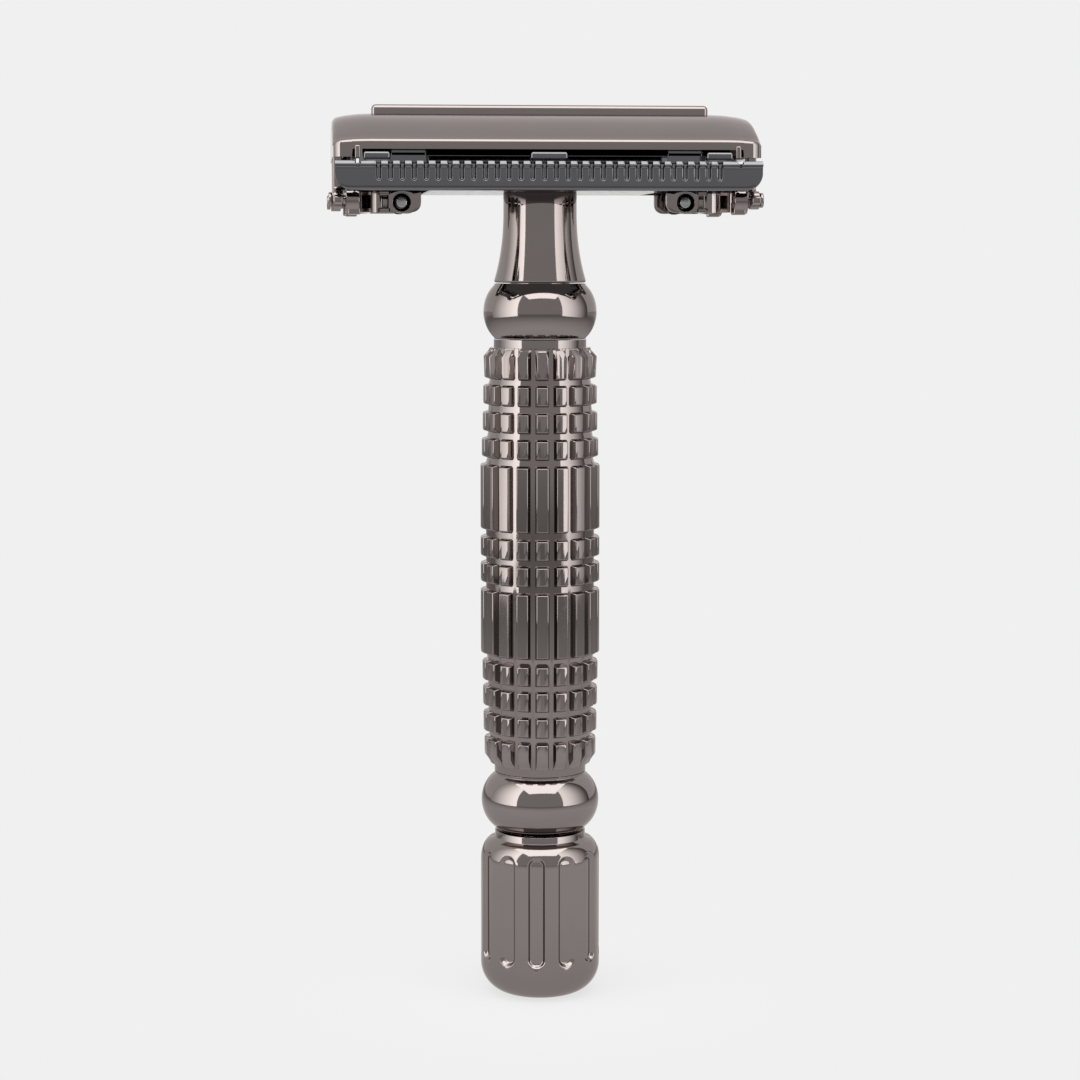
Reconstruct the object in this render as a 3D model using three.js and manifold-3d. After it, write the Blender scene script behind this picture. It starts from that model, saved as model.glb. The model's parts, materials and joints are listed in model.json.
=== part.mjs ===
// Twist-to-open double-edge safety razor, closed, standing on its knob.
// Millimetres, +Z up, origin at the centre of the knob's flat base.
// X runs along the head, -Y is the side of the front door.

import * as THREE from 'three';
import { mergeVertices } from 'three/addons/utils/BufferGeometryUtils.js';
import Module from 'manifold-3d';

const wasm = await Module();
wasm.setup();

// ---------------------------------------------------------------- driving dimensions

const ROUND = 24;                      // sides of a large turned piece
const SMALL_ROUND = 12;                // sides of a pin, rod or washer
const FIT = 0.1;                       // clearance between fitted pieces
const SEAT = 0.06;                     // gap where one piece stands on another

// handle
const KNOB_RADIUS = 6.55;
const KNOB_BASE_RADIUS = 3.35;
const KNOB_TOP_Z = 17.4;
const KNOB_RING_TOP_Z = 18.15;
const KNOB_FLUTES = 12;
const KNOB_FLUTE_WIDTH = 1.7;
const KNOB_FLUTE_DEPTH = 0.4;
const KNOB_FLUTE_Z = [4.0, 16.5];
const KNOB_FLUTE_TURN = -8.6;          // degrees from the front, towards -X
const KNOB_SOCKET_FLOOR_Z = 6.0;
const LOWER_BEAD_Z = [18.6, 24.74];
const GRIP_Z = [24.8, 72.0];
const UPPER_BEAD_Z = [72.06, 78.0];
const NECK_Z = [78.1, 87.59];
const BORE_RADIUS = 3.4;               // bore of the barrel and both beads
const COLLAR_RADIUS = 5.0;
const GROOVE_RADIUS = 5.6;

// rows of the grip, from the knob up: bottom, top, radius
const GRIP_ROWS = [
  [25.83, 28.59, 6.11], [29.27, 31.41, 6.21], [32.11, 34.25, 6.26], [34.92, 37.09, 6.31],
  [37.87, 44.95, 6.48], [45.70, 47.87, 6.47], [48.51, 50.72, 6.47], [51.47, 58.57, 6.48],
  [59.32, 61.40, 6.33], [62.12, 64.24, 6.22], [65.00, 67.14, 6.16], [67.81, 71.06, 6.04],
];

// drive train on the handle's axis
const SPINDLE_RADIUS = 2.1;
const THREAD_RADIUS = 1.8;
const SPINDLE_Z = [6.3, 44.0];
const THREAD_START_Z = 34.2;
const BUSH_Z = [19.4, 31.0];
const CLIP_Z = [32.5, 33.1];
const NUT_Z = [36.0, 47.0];
const NUT_RADIUS = 3.1;
const ROD_RADIUS = 1.75;
const ROD_Z = [45.5, 88.74];
const NECK_SPIGOT_RADIUS = 3.3;
const NECK_SPIGOT_Z = 68.0;

// head, along X
const GUARD_HALF_LENGTH = 22.1;
const GUARD_FLOOR_HALF_LENGTH = 12.3;
const DOOR_HALF_LENGTH = 22.3;
const DOOR_END_WALL = 1.05;
const BAR_HALF_LENGTH = 18.05;
const BED_HALF_LENGTH = 19.2;

// head, levels and widths
const GUARD_FLOOR_Z = [87.65, 88.25];
const RAIL_Y = [11.2, 12.25];
const RAIL_TOP_Z = 90.69;
const RAIL_CORNER = 1.8;               // rounding of a rail's lower outer corners
const COMB_SLOTS = 30;
const COMB_PITCH = 1.217;
const COMB_SLOT_WIDTH = 0.55;
const COMB_SLOT_DEPTH = 0.25;
const COMB_SLOT_BOTTOM_Z = 88.65;
const NOTCH_X = 19.75;
const NOTCH_WIDTH = 0.7;
const NOTCH_BOTTOM_Z = 90.0;
const BED_TOP_Z = 94.3;
const BED_RADIUS = 17.4;
const BED_THICKNESS = 0.8;
const BED_HALF_WIDTH = 9.8;
const LUG_Y = [9.5, 10.45];
const LUG_Z = [90.7, 91.66];
const LUG_SPANS = [[-19.2, -16.4], [-1.95, 1.95], [16.4, 19.2]];
const DRAIN_SPAN = [12.5, 16.4];
const DRAIN_Y = 8.3;                   // inner edge of a drain gap
const SKIRT_Z = [88.6, 91.6];          // turned-down skirt along that edge
const SKIRT_THICKNESS = 0.4;
const BAR_HALF_WIDTH = 0.9;
const BAR_TOP_Z = 96.97;
const BAR_EDGE = 0.35;                 // chamfer along the centre bar's top

// doors
const DOOR_RADIUS = 18.4;
const DOOR_CREST_Z = 96.0;
const DOOR_WALL = 0.95;
const DOOR_INNER_EDGE_Y = 1.1;
const DOOR_MEETING_Y = 0.2;            // past the centre bar the doors almost meet
const DOOR_LIP_Y = 10.65;
const DOOR_LIP_Z = 91.91;
// how a door's crest falls away towards its end: distance from the end, drop
const DOOR_END_FALL = [[4.0, 0], [2.8, 0.05], [1.8, 0.16], [1.1, 0.27], [0.55, 0.4], [0.2, 0.62], [0, 1.0]];
const EAR_Z = 91.1;
const EAR_X = 20.3;
const FIN_Z = 90.85;
const FIN_WIDTH = 0.5;

// hinge and lifting gear
const HINGE_Y = 8.5;
const HINGE_Z = 86.75;
const HINGE_PIN_RADIUS = 0.45;
const HINGE_HEAD_RADIUS = 0.77;
const KNUCKLE_RADIUS = 1.45;
const LEG_KNUCKLE_RADIUS = 0.95;
const LEG_X = [21.25, 22.3];
const CROSSBAR_Z = [88.8, 89.5];
const CROSSBAR_HALF_WIDTH = 1.8;
const LUG_PIN_X = 15.05;
const LUG_PIN_Z = 86.55;
const LUG_PIN_RADIUS = 0.6;
const BRACKET_BOTTOM_Z = 85.5;
const BRACKET_TOP_Z = 88.0;
const BRACKET_WALL = 0.8;
const BRACKET_EAR_Y = 4.8;             // middle of the ear's wall

// ---------------------------------------------------------------- shape helpers

function solid(geometry) {
  const bare = geometry.index ? geometry.toNonIndexed() : geometry.clone();
  bare.deleteAttribute('normal');
  bare.deleteAttribute('uv');
  const merged = mergeVertices(bare, 1e-5);
  const triangles = [];
  const index = merged.index.array;
  for (let i = 0; i < index.length; i += 3) {
    const [a, b, c] = [index[i], index[i + 1], index[i + 2]];
    if (a !== b && b !== c && c !== a) triangles.push(a, b, c);
  }
  return new wasm.Manifold(new wasm.Mesh({
    numProp: 3,
    vertProperties: new Float32Array(merged.attributes.position.array),
    triVerts: new Uint32Array(triangles),
  }));
}

function geometryOf(manifold) {
  const mesh = manifold.getMesh();
  const geometry = new THREE.BufferGeometry();
  geometry.setAttribute('position', new THREE.BufferAttribute(mesh.vertProperties, 3));
  geometry.setIndex(new THREE.BufferAttribute(mesh.triVerts, 1));
  return geometry;
}

function join(...pieces) {
  return pieces.reduce((all, piece) => all.add(piece));
}

function cut(body, ...tools) {
  return tools.reduce((left, tool) => left.subtract(tool), body);
}

function box(x, y, z) {
  const geometry = new THREE.BoxGeometry(x[1] - x[0], y[1] - y[0], z[1] - z[0]);
  geometry.translate((x[0] + x[1]) / 2, (y[0] + y[1]) / 2, (z[0] + z[1]) / 2);
  return solid(geometry);
}

// Turned about Z from [radius, z] points that run upwards; both ends lie on the axis.
function turned(points, sides = ROUND) {
  const profile = points.map(([radius, z]) => new THREE.Vector2(radius, z));
  const geometry = new THREE.LatheGeometry(profile, sides);
  geometry.rotateX(Math.PI / 2);
  return solid(geometry);
}

function cylinderZ(radius, z, sides = SMALL_ROUND) {
  return turned([[0, z[0]], [radius, z[0]], [radius, z[1]], [0, z[1]]], sides);
}

function cylinderX(radius, x, y, z, sides = SMALL_ROUND) {
  const geometry = new THREE.CylinderGeometry(radius, radius, x[1] - x[0], sides);
  geometry.rotateZ(Math.PI / 2);
  geometry.translate((x[0] + x[1]) / 2, y, z);
  return solid(geometry);
}

function cylinderY(radius, x, y, z, sides = SMALL_ROUND) {
  const geometry = new THREE.CylinderGeometry(radius, radius, y[1] - y[0], sides);
  geometry.translate(x, (y[0] + y[1]) / 2, z);
  return solid(geometry);
}

function outline(points) {
  return new THREE.Shape(points.map(([a, b]) => new THREE.Vector2(a, b)));
}

// An outline in the X-Y plane, raised from z[0] to z[1].
function plateZ(shape, z, curveSegments = 8) {
  const geometry = new THREE.ExtrudeGeometry(shape, {
    depth: z[1] - z[0], bevelEnabled: false, curveSegments,
  });
  geometry.translate(0, 0, z[0]);
  return solid(geometry);
}

// An outline in the Y-Z plane, drawn out along X.
function barX(shape, x, curveSegments = 8) {
  const geometry = new THREE.ExtrudeGeometry(shape, {
    depth: x[1] - x[0], bevelEnabled: false, curveSegments,
  });
  geometry.rotateZ(Math.PI / 2);
  geometry.rotateY(Math.PI / 2);
  geometry.translate(x[0], 0, 0);
  return solid(geometry);
}

// An outline in the X-Z plane, drawn out along Y.
function barY(shape, y, curveSegments = 8) {
  const geometry = new THREE.ExtrudeGeometry(shape, {
    depth: y[1] - y[0], bevelEnabled: false, curveSegments,
  });
  geometry.rotateX(Math.PI / 2);
  geometry.translate(0, y[1], 0);
  return solid(geometry);
}

function halfTurn(piece) {
  return piece.rotate([0, 0, 180]);
}

function mirroredX(piece) {
  return piece.mirror([1, 0, 0]);
}

// Points of an arc about [cy, cz]; angles in degrees from +Z, positive towards +Y.
function arc(cy, cz, radius, from, to, steps) {
  return Array.from({ length: steps + 1 }, (_, i) => {
    const angle = THREE.MathUtils.degToRad(from + ((to - from) * i) / steps);
    return [cy + radius * Math.sin(angle), cz + radius * Math.cos(angle)];
  });
}

function angleAt(halfWidth, radius) {
  return THREE.MathUtils.radToDeg(Math.asin(halfWidth / radius));
}

// ---------------------------------------------------------------- handle

function gripBarrel() {
  const profile = [[0, GRIP_Z[0]], [COLLAR_RADIUS, GRIP_Z[0]]];
  let groove = COLLAR_RADIUS;
  for (const [bottom, top, radius] of GRIP_ROWS) {
    profile.push([groove, bottom], [radius, bottom + 0.15], [radius, top - 0.15]);
    groove = GROOVE_RADIUS;
    profile.push([groove, top]);
  }
  profile.pop();
  profile.push([COLLAR_RADIUS, GRIP_ROWS.at(-1)[1]], [COLLAR_RADIUS, GRIP_Z[1]], [0, GRIP_Z[1]]);
  return cut(turned(profile), cylinderZ(BORE_RADIUS, [GRIP_Z[0] - 1, GRIP_Z[1] + 1], ROUND));
}

function lowerBead() {
  const [bottom, top] = LOWER_BEAD_Z;
  const ball = turned([
    [0, bottom], [5.45, bottom], [5.98, 19.3], [6.3, 20.2], [6.44, 21.54],
    [6.33, 22.6], [6.05, 23.6], [5.65, 24.35], [5.2, top], [0, top],
  ]);
  return cut(ball, cylinderZ(BORE_RADIUS, [bottom - 1, top + 1], ROUND));
}

function upperBead() {
  const [bottom, top] = UPPER_BEAD_Z;
  const ball = turned([
    [0, bottom], [5.05, bottom], [5.4, 72.7], [5.82, 73.5], [6.12, 75.0],
    [5.99, 76.0], [5.77, 76.9], [5.34, 77.7], [5.1, top], [0, top],
  ]);
  return cut(ball, cylinderZ(BORE_RADIUS, [bottom - 1, top + 1], ROUND));
}

// The neck's spigot runs down through the upper bead; its top stub holds the guard.
function neckTube() {
  const tube = turned([
    [0, NECK_SPIGOT_Z], [NECK_SPIGOT_RADIUS, NECK_SPIGOT_Z], [NECK_SPIGOT_RADIUS, NECK_Z[0]],
    [5.0, NECK_Z[0]], [4.86, 78.8], [4.53, 80.3], [4.17, 82.0], [3.98, 83.6],
    [3.95, 84.8], [3.95, NECK_Z[1]], [2.9, NECK_Z[1]], [2.9, 88.35], [0, 88.35],
  ]);
  return cut(tube, cylinderZ(ROD_RADIUS + FIT, [NECK_SPIGOT_Z - 1, 90]));
}

// Swaged ring that clamps the guard's floor to the neck.
function neckCollar() {
  const ring = cylinderZ(3.9, [88.31, 88.7], ROUND);
  return cut(ring, cylinderZ(2.98, [88, 89], ROUND));
}

function bearingBush() {
  const bush = cylinderZ(BORE_RADIUS - FIT, BUSH_Z, ROUND);
  return cut(bush, cylinderZ(SPINDLE_RADIUS + FIT, [BUSH_Z[0] - 1, BUSH_Z[1] + 1]));
}

// ---------------------------------------------------------------- knob and drive screw

function knob() {
  const body = turned([
    [0, 0], [KNOB_BASE_RADIUS, 0], [4.6, 0.35], [5.65, 1.1], [6.3, 2.1], [KNOB_RADIUS, 3.3],
    [KNOB_RADIUS, 14.3], [6.4, 16.0], [5.85, 17.0], [5.1, KNOB_TOP_Z],
    [4.95, KNOB_TOP_Z], [4.95, KNOB_RING_TOP_Z], [0, KNOB_RING_TOP_Z],
  ]);
  const flutes = [];
  const axisRadius = KNOB_RADIUS - KNOB_FLUTE_DEPTH + KNOB_FLUTE_WIDTH / 2;
  for (let i = 0; i < KNOB_FLUTES; i += 1) {
    const turn = THREE.MathUtils.degToRad(-90 + KNOB_FLUTE_TURN + (i * 360) / KNOB_FLUTES);
    const flute = cylinderZ(KNOB_FLUTE_WIDTH / 2, KNOB_FLUTE_Z, 12);
    flutes.push(flute.translate([axisRadius * Math.cos(turn), axisRadius * Math.sin(turn), 0]));
  }
  const socket = cylinderZ(SPINDLE_RADIUS + FIT, [KNOB_SOCKET_FLOOR_Z, KNOB_RING_TOP_Z + 1]);
  return cut(body, ...flutes, socket);
}

function driveScrew() {
  return turned([
    [0, SPINDLE_Z[0]], [SPINDLE_RADIUS, SPINDLE_Z[0]], [SPINDLE_RADIUS, CLIP_Z[0] - 0.05],
    [1.5, CLIP_Z[0] - 0.05], [1.5, CLIP_Z[1] + 0.05], [SPINDLE_RADIUS, CLIP_Z[1] + 0.05],
    [SPINDLE_RADIUS, THREAD_START_Z], [THREAD_RADIUS, THREAD_START_Z + 0.3],
    [THREAD_RADIUS, SPINDLE_Z[1] - 0.5], [THREAD_RADIUS - 0.5, SPINDLE_Z[1]], [0, SPINDLE_Z[1]],
  ], SMALL_ROUND);
}

function washer(inner, outer, z) {
  return cut(cylinderZ(outer, z), cylinderZ(inner, [z[0] - 1, z[1] + 1]));
}

// Open ring that snaps into the spindle's groove.
function retainingClip() {
  const ring = washer(1.6, 2.9, CLIP_Z);
  return cut(ring, box([-0.9, 0.9], [-4, 0], [CLIP_Z[0] - 1, CLIP_Z[1] + 1]));
}

// ---------------------------------------------------------------- carriage

function liftNut() {
  const nut = cylinderZ(NUT_RADIUS, NUT_Z, ROUND);
  const screwHole = cylinderZ(THREAD_RADIUS + FIT, [NUT_Z[0] - 1, 45.2]);
  const rodHole = cylinderZ(ROD_RADIUS + FIT, [45.2, NUT_Z[1] + 1]);
  return cut(nut, screwHole, rodHole);
}

function liftRod() {
  const tappedHole = cylinderZ(0.9, [84, ROD_Z[1] + 1]);
  return cut(cylinderZ(ROD_RADIUS, ROD_Z), tappedHole);
}

function crossbarScrew() {
  return turned([
    [0, 84.5], [0.8, 84.5], [0.8, 89.56], [1.75, 89.56], [1.75, 90.0], [1.45, 90.25], [0, 90.25],
  ], SMALL_ROUND);
}

// Strip whose ends turn down to meet the bracket pins.
function crossbar() {
  const strip = outline([
    [-16.0, 85.75], [-14.1, 85.75], [-14.1, CROSSBAR_Z[0]], [14.1, CROSSBAR_Z[0]],
    [14.1, 85.75], [16.0, 85.75], [16.0, 89.1], [15.6, CROSSBAR_Z[1]],
    [-15.6, CROSSBAR_Z[1]], [-16.0, 89.1],
  ]);
  const body = barY(strip, [-CROSSBAR_HALF_WIDTH, CROSSBAR_HALF_WIDTH]);
  const pinHoles = [-LUG_PIN_X, LUG_PIN_X].map(
    (x) => cylinderY(LUG_PIN_RADIUS + FIT, x, [-3, 3], LUG_PIN_Z));
  return cut(body, cylinderZ(0.95, [88, 91]), ...pinHoles);
}

// Half of a bracket's side wall in plan, from the ear out to the hinge knuckle.
function bracketWall(y0, y1) {
  const reach = (y) => y * Math.sign(y0);
  return outline([
    [13.0, y0], [17.0, y0], [18.2, reach(BRACKET_EAR_Y + 0.2)], [19.2, reach(6.6)], [19.6, reach(7.3)],
    [20.9, reach(7.3)], [20.9, reach(8.0)], [19.3, reach(8.0)], [18.5, reach(7.3)],
    [17.7, reach(5.95)], [16.9, y1], [13.0, y1],
  ]);
}

function endBracket() {
  const inner = BRACKET_EAR_Y - BRACKET_WALL / 2;
  const outer = BRACKET_EAR_Y + BRACKET_WALL / 2;
  const web = outline([
    [16.9, -inner], [18.2, -inner - 0.4], [19.6, -7.6], [20.9, -7.6],
    [20.9, 7.6], [19.6, 7.6], [18.2, inner + 0.4], [16.9, inner],
  ]);
  const pieces = [plateZ(web, [BRACKET_TOP_Z - 0.7, BRACKET_TOP_Z])];
  const holes = [];
  for (const side of [-1, 1]) {
    pieces.push(plateZ(bracketWall(side * inner, side * outer), [BRACKET_BOTTOM_Z, BRACKET_TOP_Z]));
    pieces.push(cylinderX(KNUCKLE_RADIUS, [19.55, 21.0], side * HINGE_Y, HINGE_Z));
    holes.push(cylinderX(HINGE_PIN_RADIUS + FIT, [19, 22], side * HINGE_Y, HINGE_Z));
    const wall = side < 0 ? [-outer - 1, -inner + 0.2] : [inner - 0.2, outer + 1];
    holes.push(cylinderY(0.95, LUG_PIN_X, wall, LUG_PIN_Z));
    holes.push(box([16.5, 17.15], wall, [86.0, 87.3]));
    const corner = box([12.5, 14.0], wall, [85, 86.5]);
    holes.push(cut(corner, cylinderY(1.0, 14.0, [wall[0] - 1, wall[1] + 1], 86.5)));
  }
  return cut(join(...pieces), ...holes);
}

function bracketPin() {
  return cylinderY(LUG_PIN_RADIUS, LUG_PIN_X, [-5.0, 5.0], LUG_PIN_Z);
}

function hingePin() {
  const shank = cylinderX(HINGE_PIN_RADIUS, [19.7, 22.5], -HINGE_Y, HINGE_Z);
  const head = cylinderX(HINGE_HEAD_RADIUS, [22.36, 22.75], -HINGE_Y, HINGE_Z);
  return join(shank, head);
}

// ---------------------------------------------------------------- guard, bed and centre bar

function guardRail() {
  const [inner, outer] = RAIL_Y;
  const half = GUARD_HALF_LENGTH;
  const bottom = GUARD_FLOOR_Z[0];
  const wall = new THREE.Shape();
  wall.moveTo(-half + RAIL_CORNER, bottom);
  wall.lineTo(half - RAIL_CORNER, bottom);
  wall.quadraticCurveTo(half, bottom, half, bottom + RAIL_CORNER);
  wall.lineTo(half, RAIL_TOP_Z);
  wall.lineTo(-half, RAIL_TOP_Z);
  wall.lineTo(-half, bottom + RAIL_CORNER);
  wall.quadraticCurveTo(-half, bottom, -half + RAIL_CORNER, bottom);
  const cuts = [];
  for (let i = 0; i < COMB_SLOTS; i += 1) {
    const x = (i - (COMB_SLOTS - 1) / 2) * COMB_PITCH;
    const slot = [x - COMB_SLOT_WIDTH / 2, x + COMB_SLOT_WIDTH / 2];
    cuts.push(box(slot, [-outer - 1, -outer + COMB_SLOT_DEPTH], [COMB_SLOT_BOTTOM_Z, RAIL_TOP_Z + 1]));
  }
  for (const side of [-1, 1]) {
    const notch = outline([
      [side * NOTCH_X - NOTCH_WIDTH / 2, RAIL_TOP_Z + 0.01],
      [side * NOTCH_X, NOTCH_BOTTOM_Z - 0.3], [side * NOTCH_X + NOTCH_WIDTH / 2, RAIL_TOP_Z + 0.01],
    ]);
    cuts.push(barY(notch, [-outer - 1, -inner + 1]));
  }
  const stops = [-1, 1].map((side) => {
    const x = [side * 21.2, side * 21.9].sort((a, b) => a - b);
    return box(x, [-inner - 0.2, -9.65], [88.45, 89.1]);
  });
  return join(cut(barY(wall, [-outer, -inner]), ...cuts), ...stops);
}

function bedPostPlaces() {
  const places = [];
  for (const x of [-9, 9]) for (const y of [-5, 5]) places.push([x, y]);
  return places;
}

function guardPlate() {
  const length = [-GUARD_FLOOR_HALF_LENGTH, GUARD_FLOOR_HALF_LENGTH];
  const floor = box(length, [-RAIL_Y[0] - 0.3, RAIL_Y[0] + 0.3], GUARD_FLOOR_Z);
  const rail = guardRail();
  const rivetHoles = bedPostPlaces().map(
    ([x, y]) => cylinderZ(0.9, [87, 89]).translate([x, y, 0]));
  return cut(join(floor, rail, halfTurn(rail)), cylinderZ(2.98, [87, 89], ROUND), ...rivetHoles);
}

function bedBottomAt(y) {
  const radius = BED_RADIUS - BED_THICKNESS;
  return BED_TOP_Z - BED_RADIUS + Math.sqrt(radius * radius - y * y);
}

// Shouldered post between the guard's floor and the bed, riveted flush with the floor's underside.
function bedPost() {
  return turned([
    [0, GUARD_FLOOR_Z[0] + SEAT], [0.8, GUARD_FLOOR_Z[0] + SEAT], [0.8, GUARD_FLOOR_Z[1] + SEAT],
    [1.3, GUARD_FLOOR_Z[1] + SEAT], [1.3, bedBottomAt(6.3) - SEAT], [0, bedBottomAt(6.3) - SEAT],
  ], SMALL_ROUND);
}

function bladeBed() {
  const centre = BED_TOP_Z - BED_RADIUS;
  const edge = angleAt(BED_HALF_WIDTH, BED_RADIUS);
  const section = outline([
    ...arc(0, centre, BED_RADIUS, -edge, edge, 12),
    ...arc(0, centre, BED_RADIUS - BED_THICKNESS, edge, -edge, 12),
  ]);
  const plate = barX(section, [-BED_HALF_LENGTH, BED_HALF_LENGTH]);
  const drains = [];
  const lugs = [];
  const skirts = [];
  for (const side of [-1, 1]) {
    for (const [x0, x1] of LUG_SPANS) {
      const y = [side * LUG_Y[0], side * LUG_Y[1]].sort((a, b) => a - b);
      lugs.push(box([x0, x1], y, LUG_Z));
    }
    for (const end of [-1, 1]) {
      const x = DRAIN_SPAN.map((value) => value * end).sort((a, b) => a - b);
      drains.push(box(x, side < 0 ? [-11, -DRAIN_Y] : [DRAIN_Y, 11], [88, 93]));
      const y = [side * DRAIN_Y, side * (DRAIN_Y - SKIRT_THICKNESS)].sort((a, b) => a - b);
      skirts.push(box([x[0] - 0.1, x[1] + 0.1], y, SKIRT_Z));
    }
  }
  const studHoles = [-12, 12].map((x) => cylinderZ(0.85, [92, 96]).translate([x, 0, 0]));
  return cut(join(plate, ...lugs, ...skirts), ...drains, ...studHoles);
}

function centreBar() {
  const section = outline([
    [-BAR_HALF_WIDTH, BED_TOP_Z + SEAT], [BAR_HALF_WIDTH, BED_TOP_Z + SEAT],
    [BAR_HALF_WIDTH, BAR_TOP_Z - BAR_EDGE], [BAR_HALF_WIDTH - BAR_EDGE, BAR_TOP_Z],
    [-BAR_HALF_WIDTH + BAR_EDGE, BAR_TOP_Z], [-BAR_HALF_WIDTH, BAR_TOP_Z - BAR_EDGE],
  ]);
  const holes = [-12, 12].map((x) => cylinderZ(0.6, [90, 95.8], 12).translate([x, 0, 0]));
  return cut(barX(section, [-BAR_HALF_LENGTH, BAR_HALF_LENGTH]), ...holes);
}

// Rivet from under the bed up into the centre bar.
function barRivet() {
  return turned([
    [0, 93.05], [1.0, 93.05], [1.25, 93.2], [1.25, 93.44], [0.5, 93.44], [0.5, 95.6], [0, 95.6],
  ], 12);
}

// ---------------------------------------------------------------- doors

// End-on outline of the pair of doors, grown or shrunk by the wall's thickness.
function doorSection(inset, bottom) {
  const centre = DOOR_CREST_Z - DOOR_RADIUS;
  const radius = DOOR_RADIUS - inset;
  const half = DOOR_LIP_Y - inset * 0.85;
  const shoulder = half - 0.3;
  const edge = angleAt(shoulder, radius);
  const curve = arc(0, centre, radius, -edge, edge, 14);
  return outline([[-half, bottom], [-half, curve[0][1] - 0.3], ...curve, [half, curve[0][1] - 0.3], [half, bottom]]);
}

// Side-on outline of a door: straight along the top, falling away a little at each end.
function doorLengthwise(inset, bottom) {
  const half = DOOR_HALF_LENGTH - (inset > 0 ? DOOR_END_WALL : 0);
  const top = DOOR_CREST_Z - inset + 0.001;
  const left = DOOR_END_FALL.map(([back, drop]) => [-half + back, top - drop]);
  const right = DOOR_END_FALL.map(([back, drop]) => [half - back, top - drop]).reverse();
  return outline([[-half, bottom], [half, bottom], ...right, ...left]);
}

function doorShell() {
  const length = [-30, 30];
  const outside = barX(doorSection(0, EAR_Z), length).intersect(barY(doorLengthwise(0, EAR_Z), [-20, 20], 6));
  const inside = barX(doorSection(DOOR_WALL, 80), length)
    .intersect(barY(doorLengthwise(DOOR_WALL, 80), [-20, 20], 6));
  const behind = box([-30, 30], [-DOOR_MEETING_Y, 20], [80, 100]);
  const barSlot = box([-BAR_HALF_LENGTH - 0.25, BAR_HALF_LENGTH + 0.25], [-DOOR_INNER_EDGE_Y, 20], [80, 100]);
  const underLip = box([-EAR_X, EAR_X], [-20, 0], [80, DOOR_LIP_Z]);
  return cut(outside, inside, behind, barSlot, underLip);
}

// Gooseneck at the door's end: it clears the guard rail when the door swings out.
function doorLeg() {
  const pinY = -HINGE_Y;
  const leg = outline([
    [pinY - 2.1, HINGE_Z - 0.35], [pinY, HINGE_Z - 0.8], [pinY + 2.3, HINGE_Z - 0.5],
    [pinY + 3.0, HINGE_Z + 0.4], [pinY + 3.1, EAR_Z + 0.6], [pinY + 1.1, EAR_Z + 0.6],
    [pinY + 1.3, HINGE_Z + 1.3], [pinY + 0.6, HINGE_Z + 0.75], [pinY - 0.6, HINGE_Z + 0.55],
    [pinY - 2.1, HINGE_Z + 0.3],
  ]);
  return join(barX(leg, LEG_X), cylinderX(LEG_KNUCKLE_RADIUS, LEG_X, pinY, HINGE_Z));
}

function doorFin() {
  const fin = outline([
    [-DOOR_LIP_Y + 0.02, FIN_Z], [-DOOR_LIP_Y + 0.02, 92.3], [-9.9, 92.3], [-9.9, 91.6],
  ]);
  return barX(fin, [NOTCH_X - FIN_WIDTH / 2, NOTCH_X + FIN_WIDTH / 2]);
}

function door() {
  const half = join(doorLeg(), doorFin());
  const holes = [-1, 1].map((end) => cylinderX(
    HINGE_PIN_RADIUS + FIT, end > 0 ? [21, 24] : [-24, -21], -HINGE_Y, HINGE_Z));
  return cut(join(doorShell(), half, mirroredX(half)), ...holes);
}

// ---------------------------------------------------------------- materials and assembly

function metal(color, roughness) {
  return new THREE.MeshStandardMaterial({ color, roughness, metalness: 1.0 });
}

const gunmetal = () => metal(0x857d7a, 0.1);
const darkChrome = () => metal(0x58585c, 0.12);
const pinSteel = () => metal(0x9b9b98, 0.25);
const springSteel = () => metal(0x8a8f94, 0.35);
const brass = () => metal(0xb08d57, 0.35);

const razor = new THREE.Group();

function place(name, body, material) {
  const mesh = new THREE.Mesh(geometryOf(body), material);
  mesh.name = name;
  razor.add(mesh);
}

place('grip_barrel', gripBarrel(), gunmetal());
place('lower_bead', lowerBead(), gunmetal());
place('upper_bead', upperBead(), gunmetal());
place('neck_tube', neckTube(), gunmetal());
place('neck_collar', neckCollar(), pinSteel());
place('bearing_bush', bearingBush(), brass());

place('knob', knob(), gunmetal());
place('drive_screw', driveScrew(), pinSteel());
place('spring_washer', washer(2.25, 3.1, [31.1, 31.6]), springSteel());
place('thrust_washer', washer(2.25, 3.1, [31.75, 32.35]), brass());
place('retaining_clip', retainingClip(), springSteel());

place('lift_nut', liftNut(), brass());
place('lift_rod', liftRod(), pinSteel());
place('crossbar_screw', crossbarScrew(), pinSteel());
place('crossbar', crossbar(), pinSteel());
place('end_bracket_right', endBracket(), gunmetal());
place('end_bracket_left', mirroredX(endBracket()), gunmetal());
place('bracket_pin_right', bracketPin(), pinSteel());
place('bracket_pin_left', mirroredX(bracketPin()), pinSteel());
place('hinge_pin_front_right', hingePin(), gunmetal());
place('hinge_pin_front_left', mirroredX(hingePin()), gunmetal());
place('hinge_pin_rear_left', halfTurn(hingePin()), gunmetal());
place('hinge_pin_rear_right', halfTurn(mirroredX(hingePin())), gunmetal());

place('guard_plate', guardPlate(), darkChrome());
place('blade_bed', bladeBed(), darkChrome());
bedPostPlaces().forEach(([x, y]) => {
  const name = `bed_post_${y < 0 ? 'front' : 'rear'}_${x < 0 ? 'left' : 'right'}`;
  place(name, bedPost().translate([x, y, 0]), pinSteel());
});
place('centre_bar', centreBar(), gunmetal());
place('bar_rivet_left', barRivet().translate([-12, 0, 0]), pinSteel());
place('bar_rivet_right', barRivet().translate([12, 0, 0]), pinSteel());

place('door_front', door(), gunmetal());
place('door_rear', halfTurn(door()), gunmetal());

export default razor;
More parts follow.
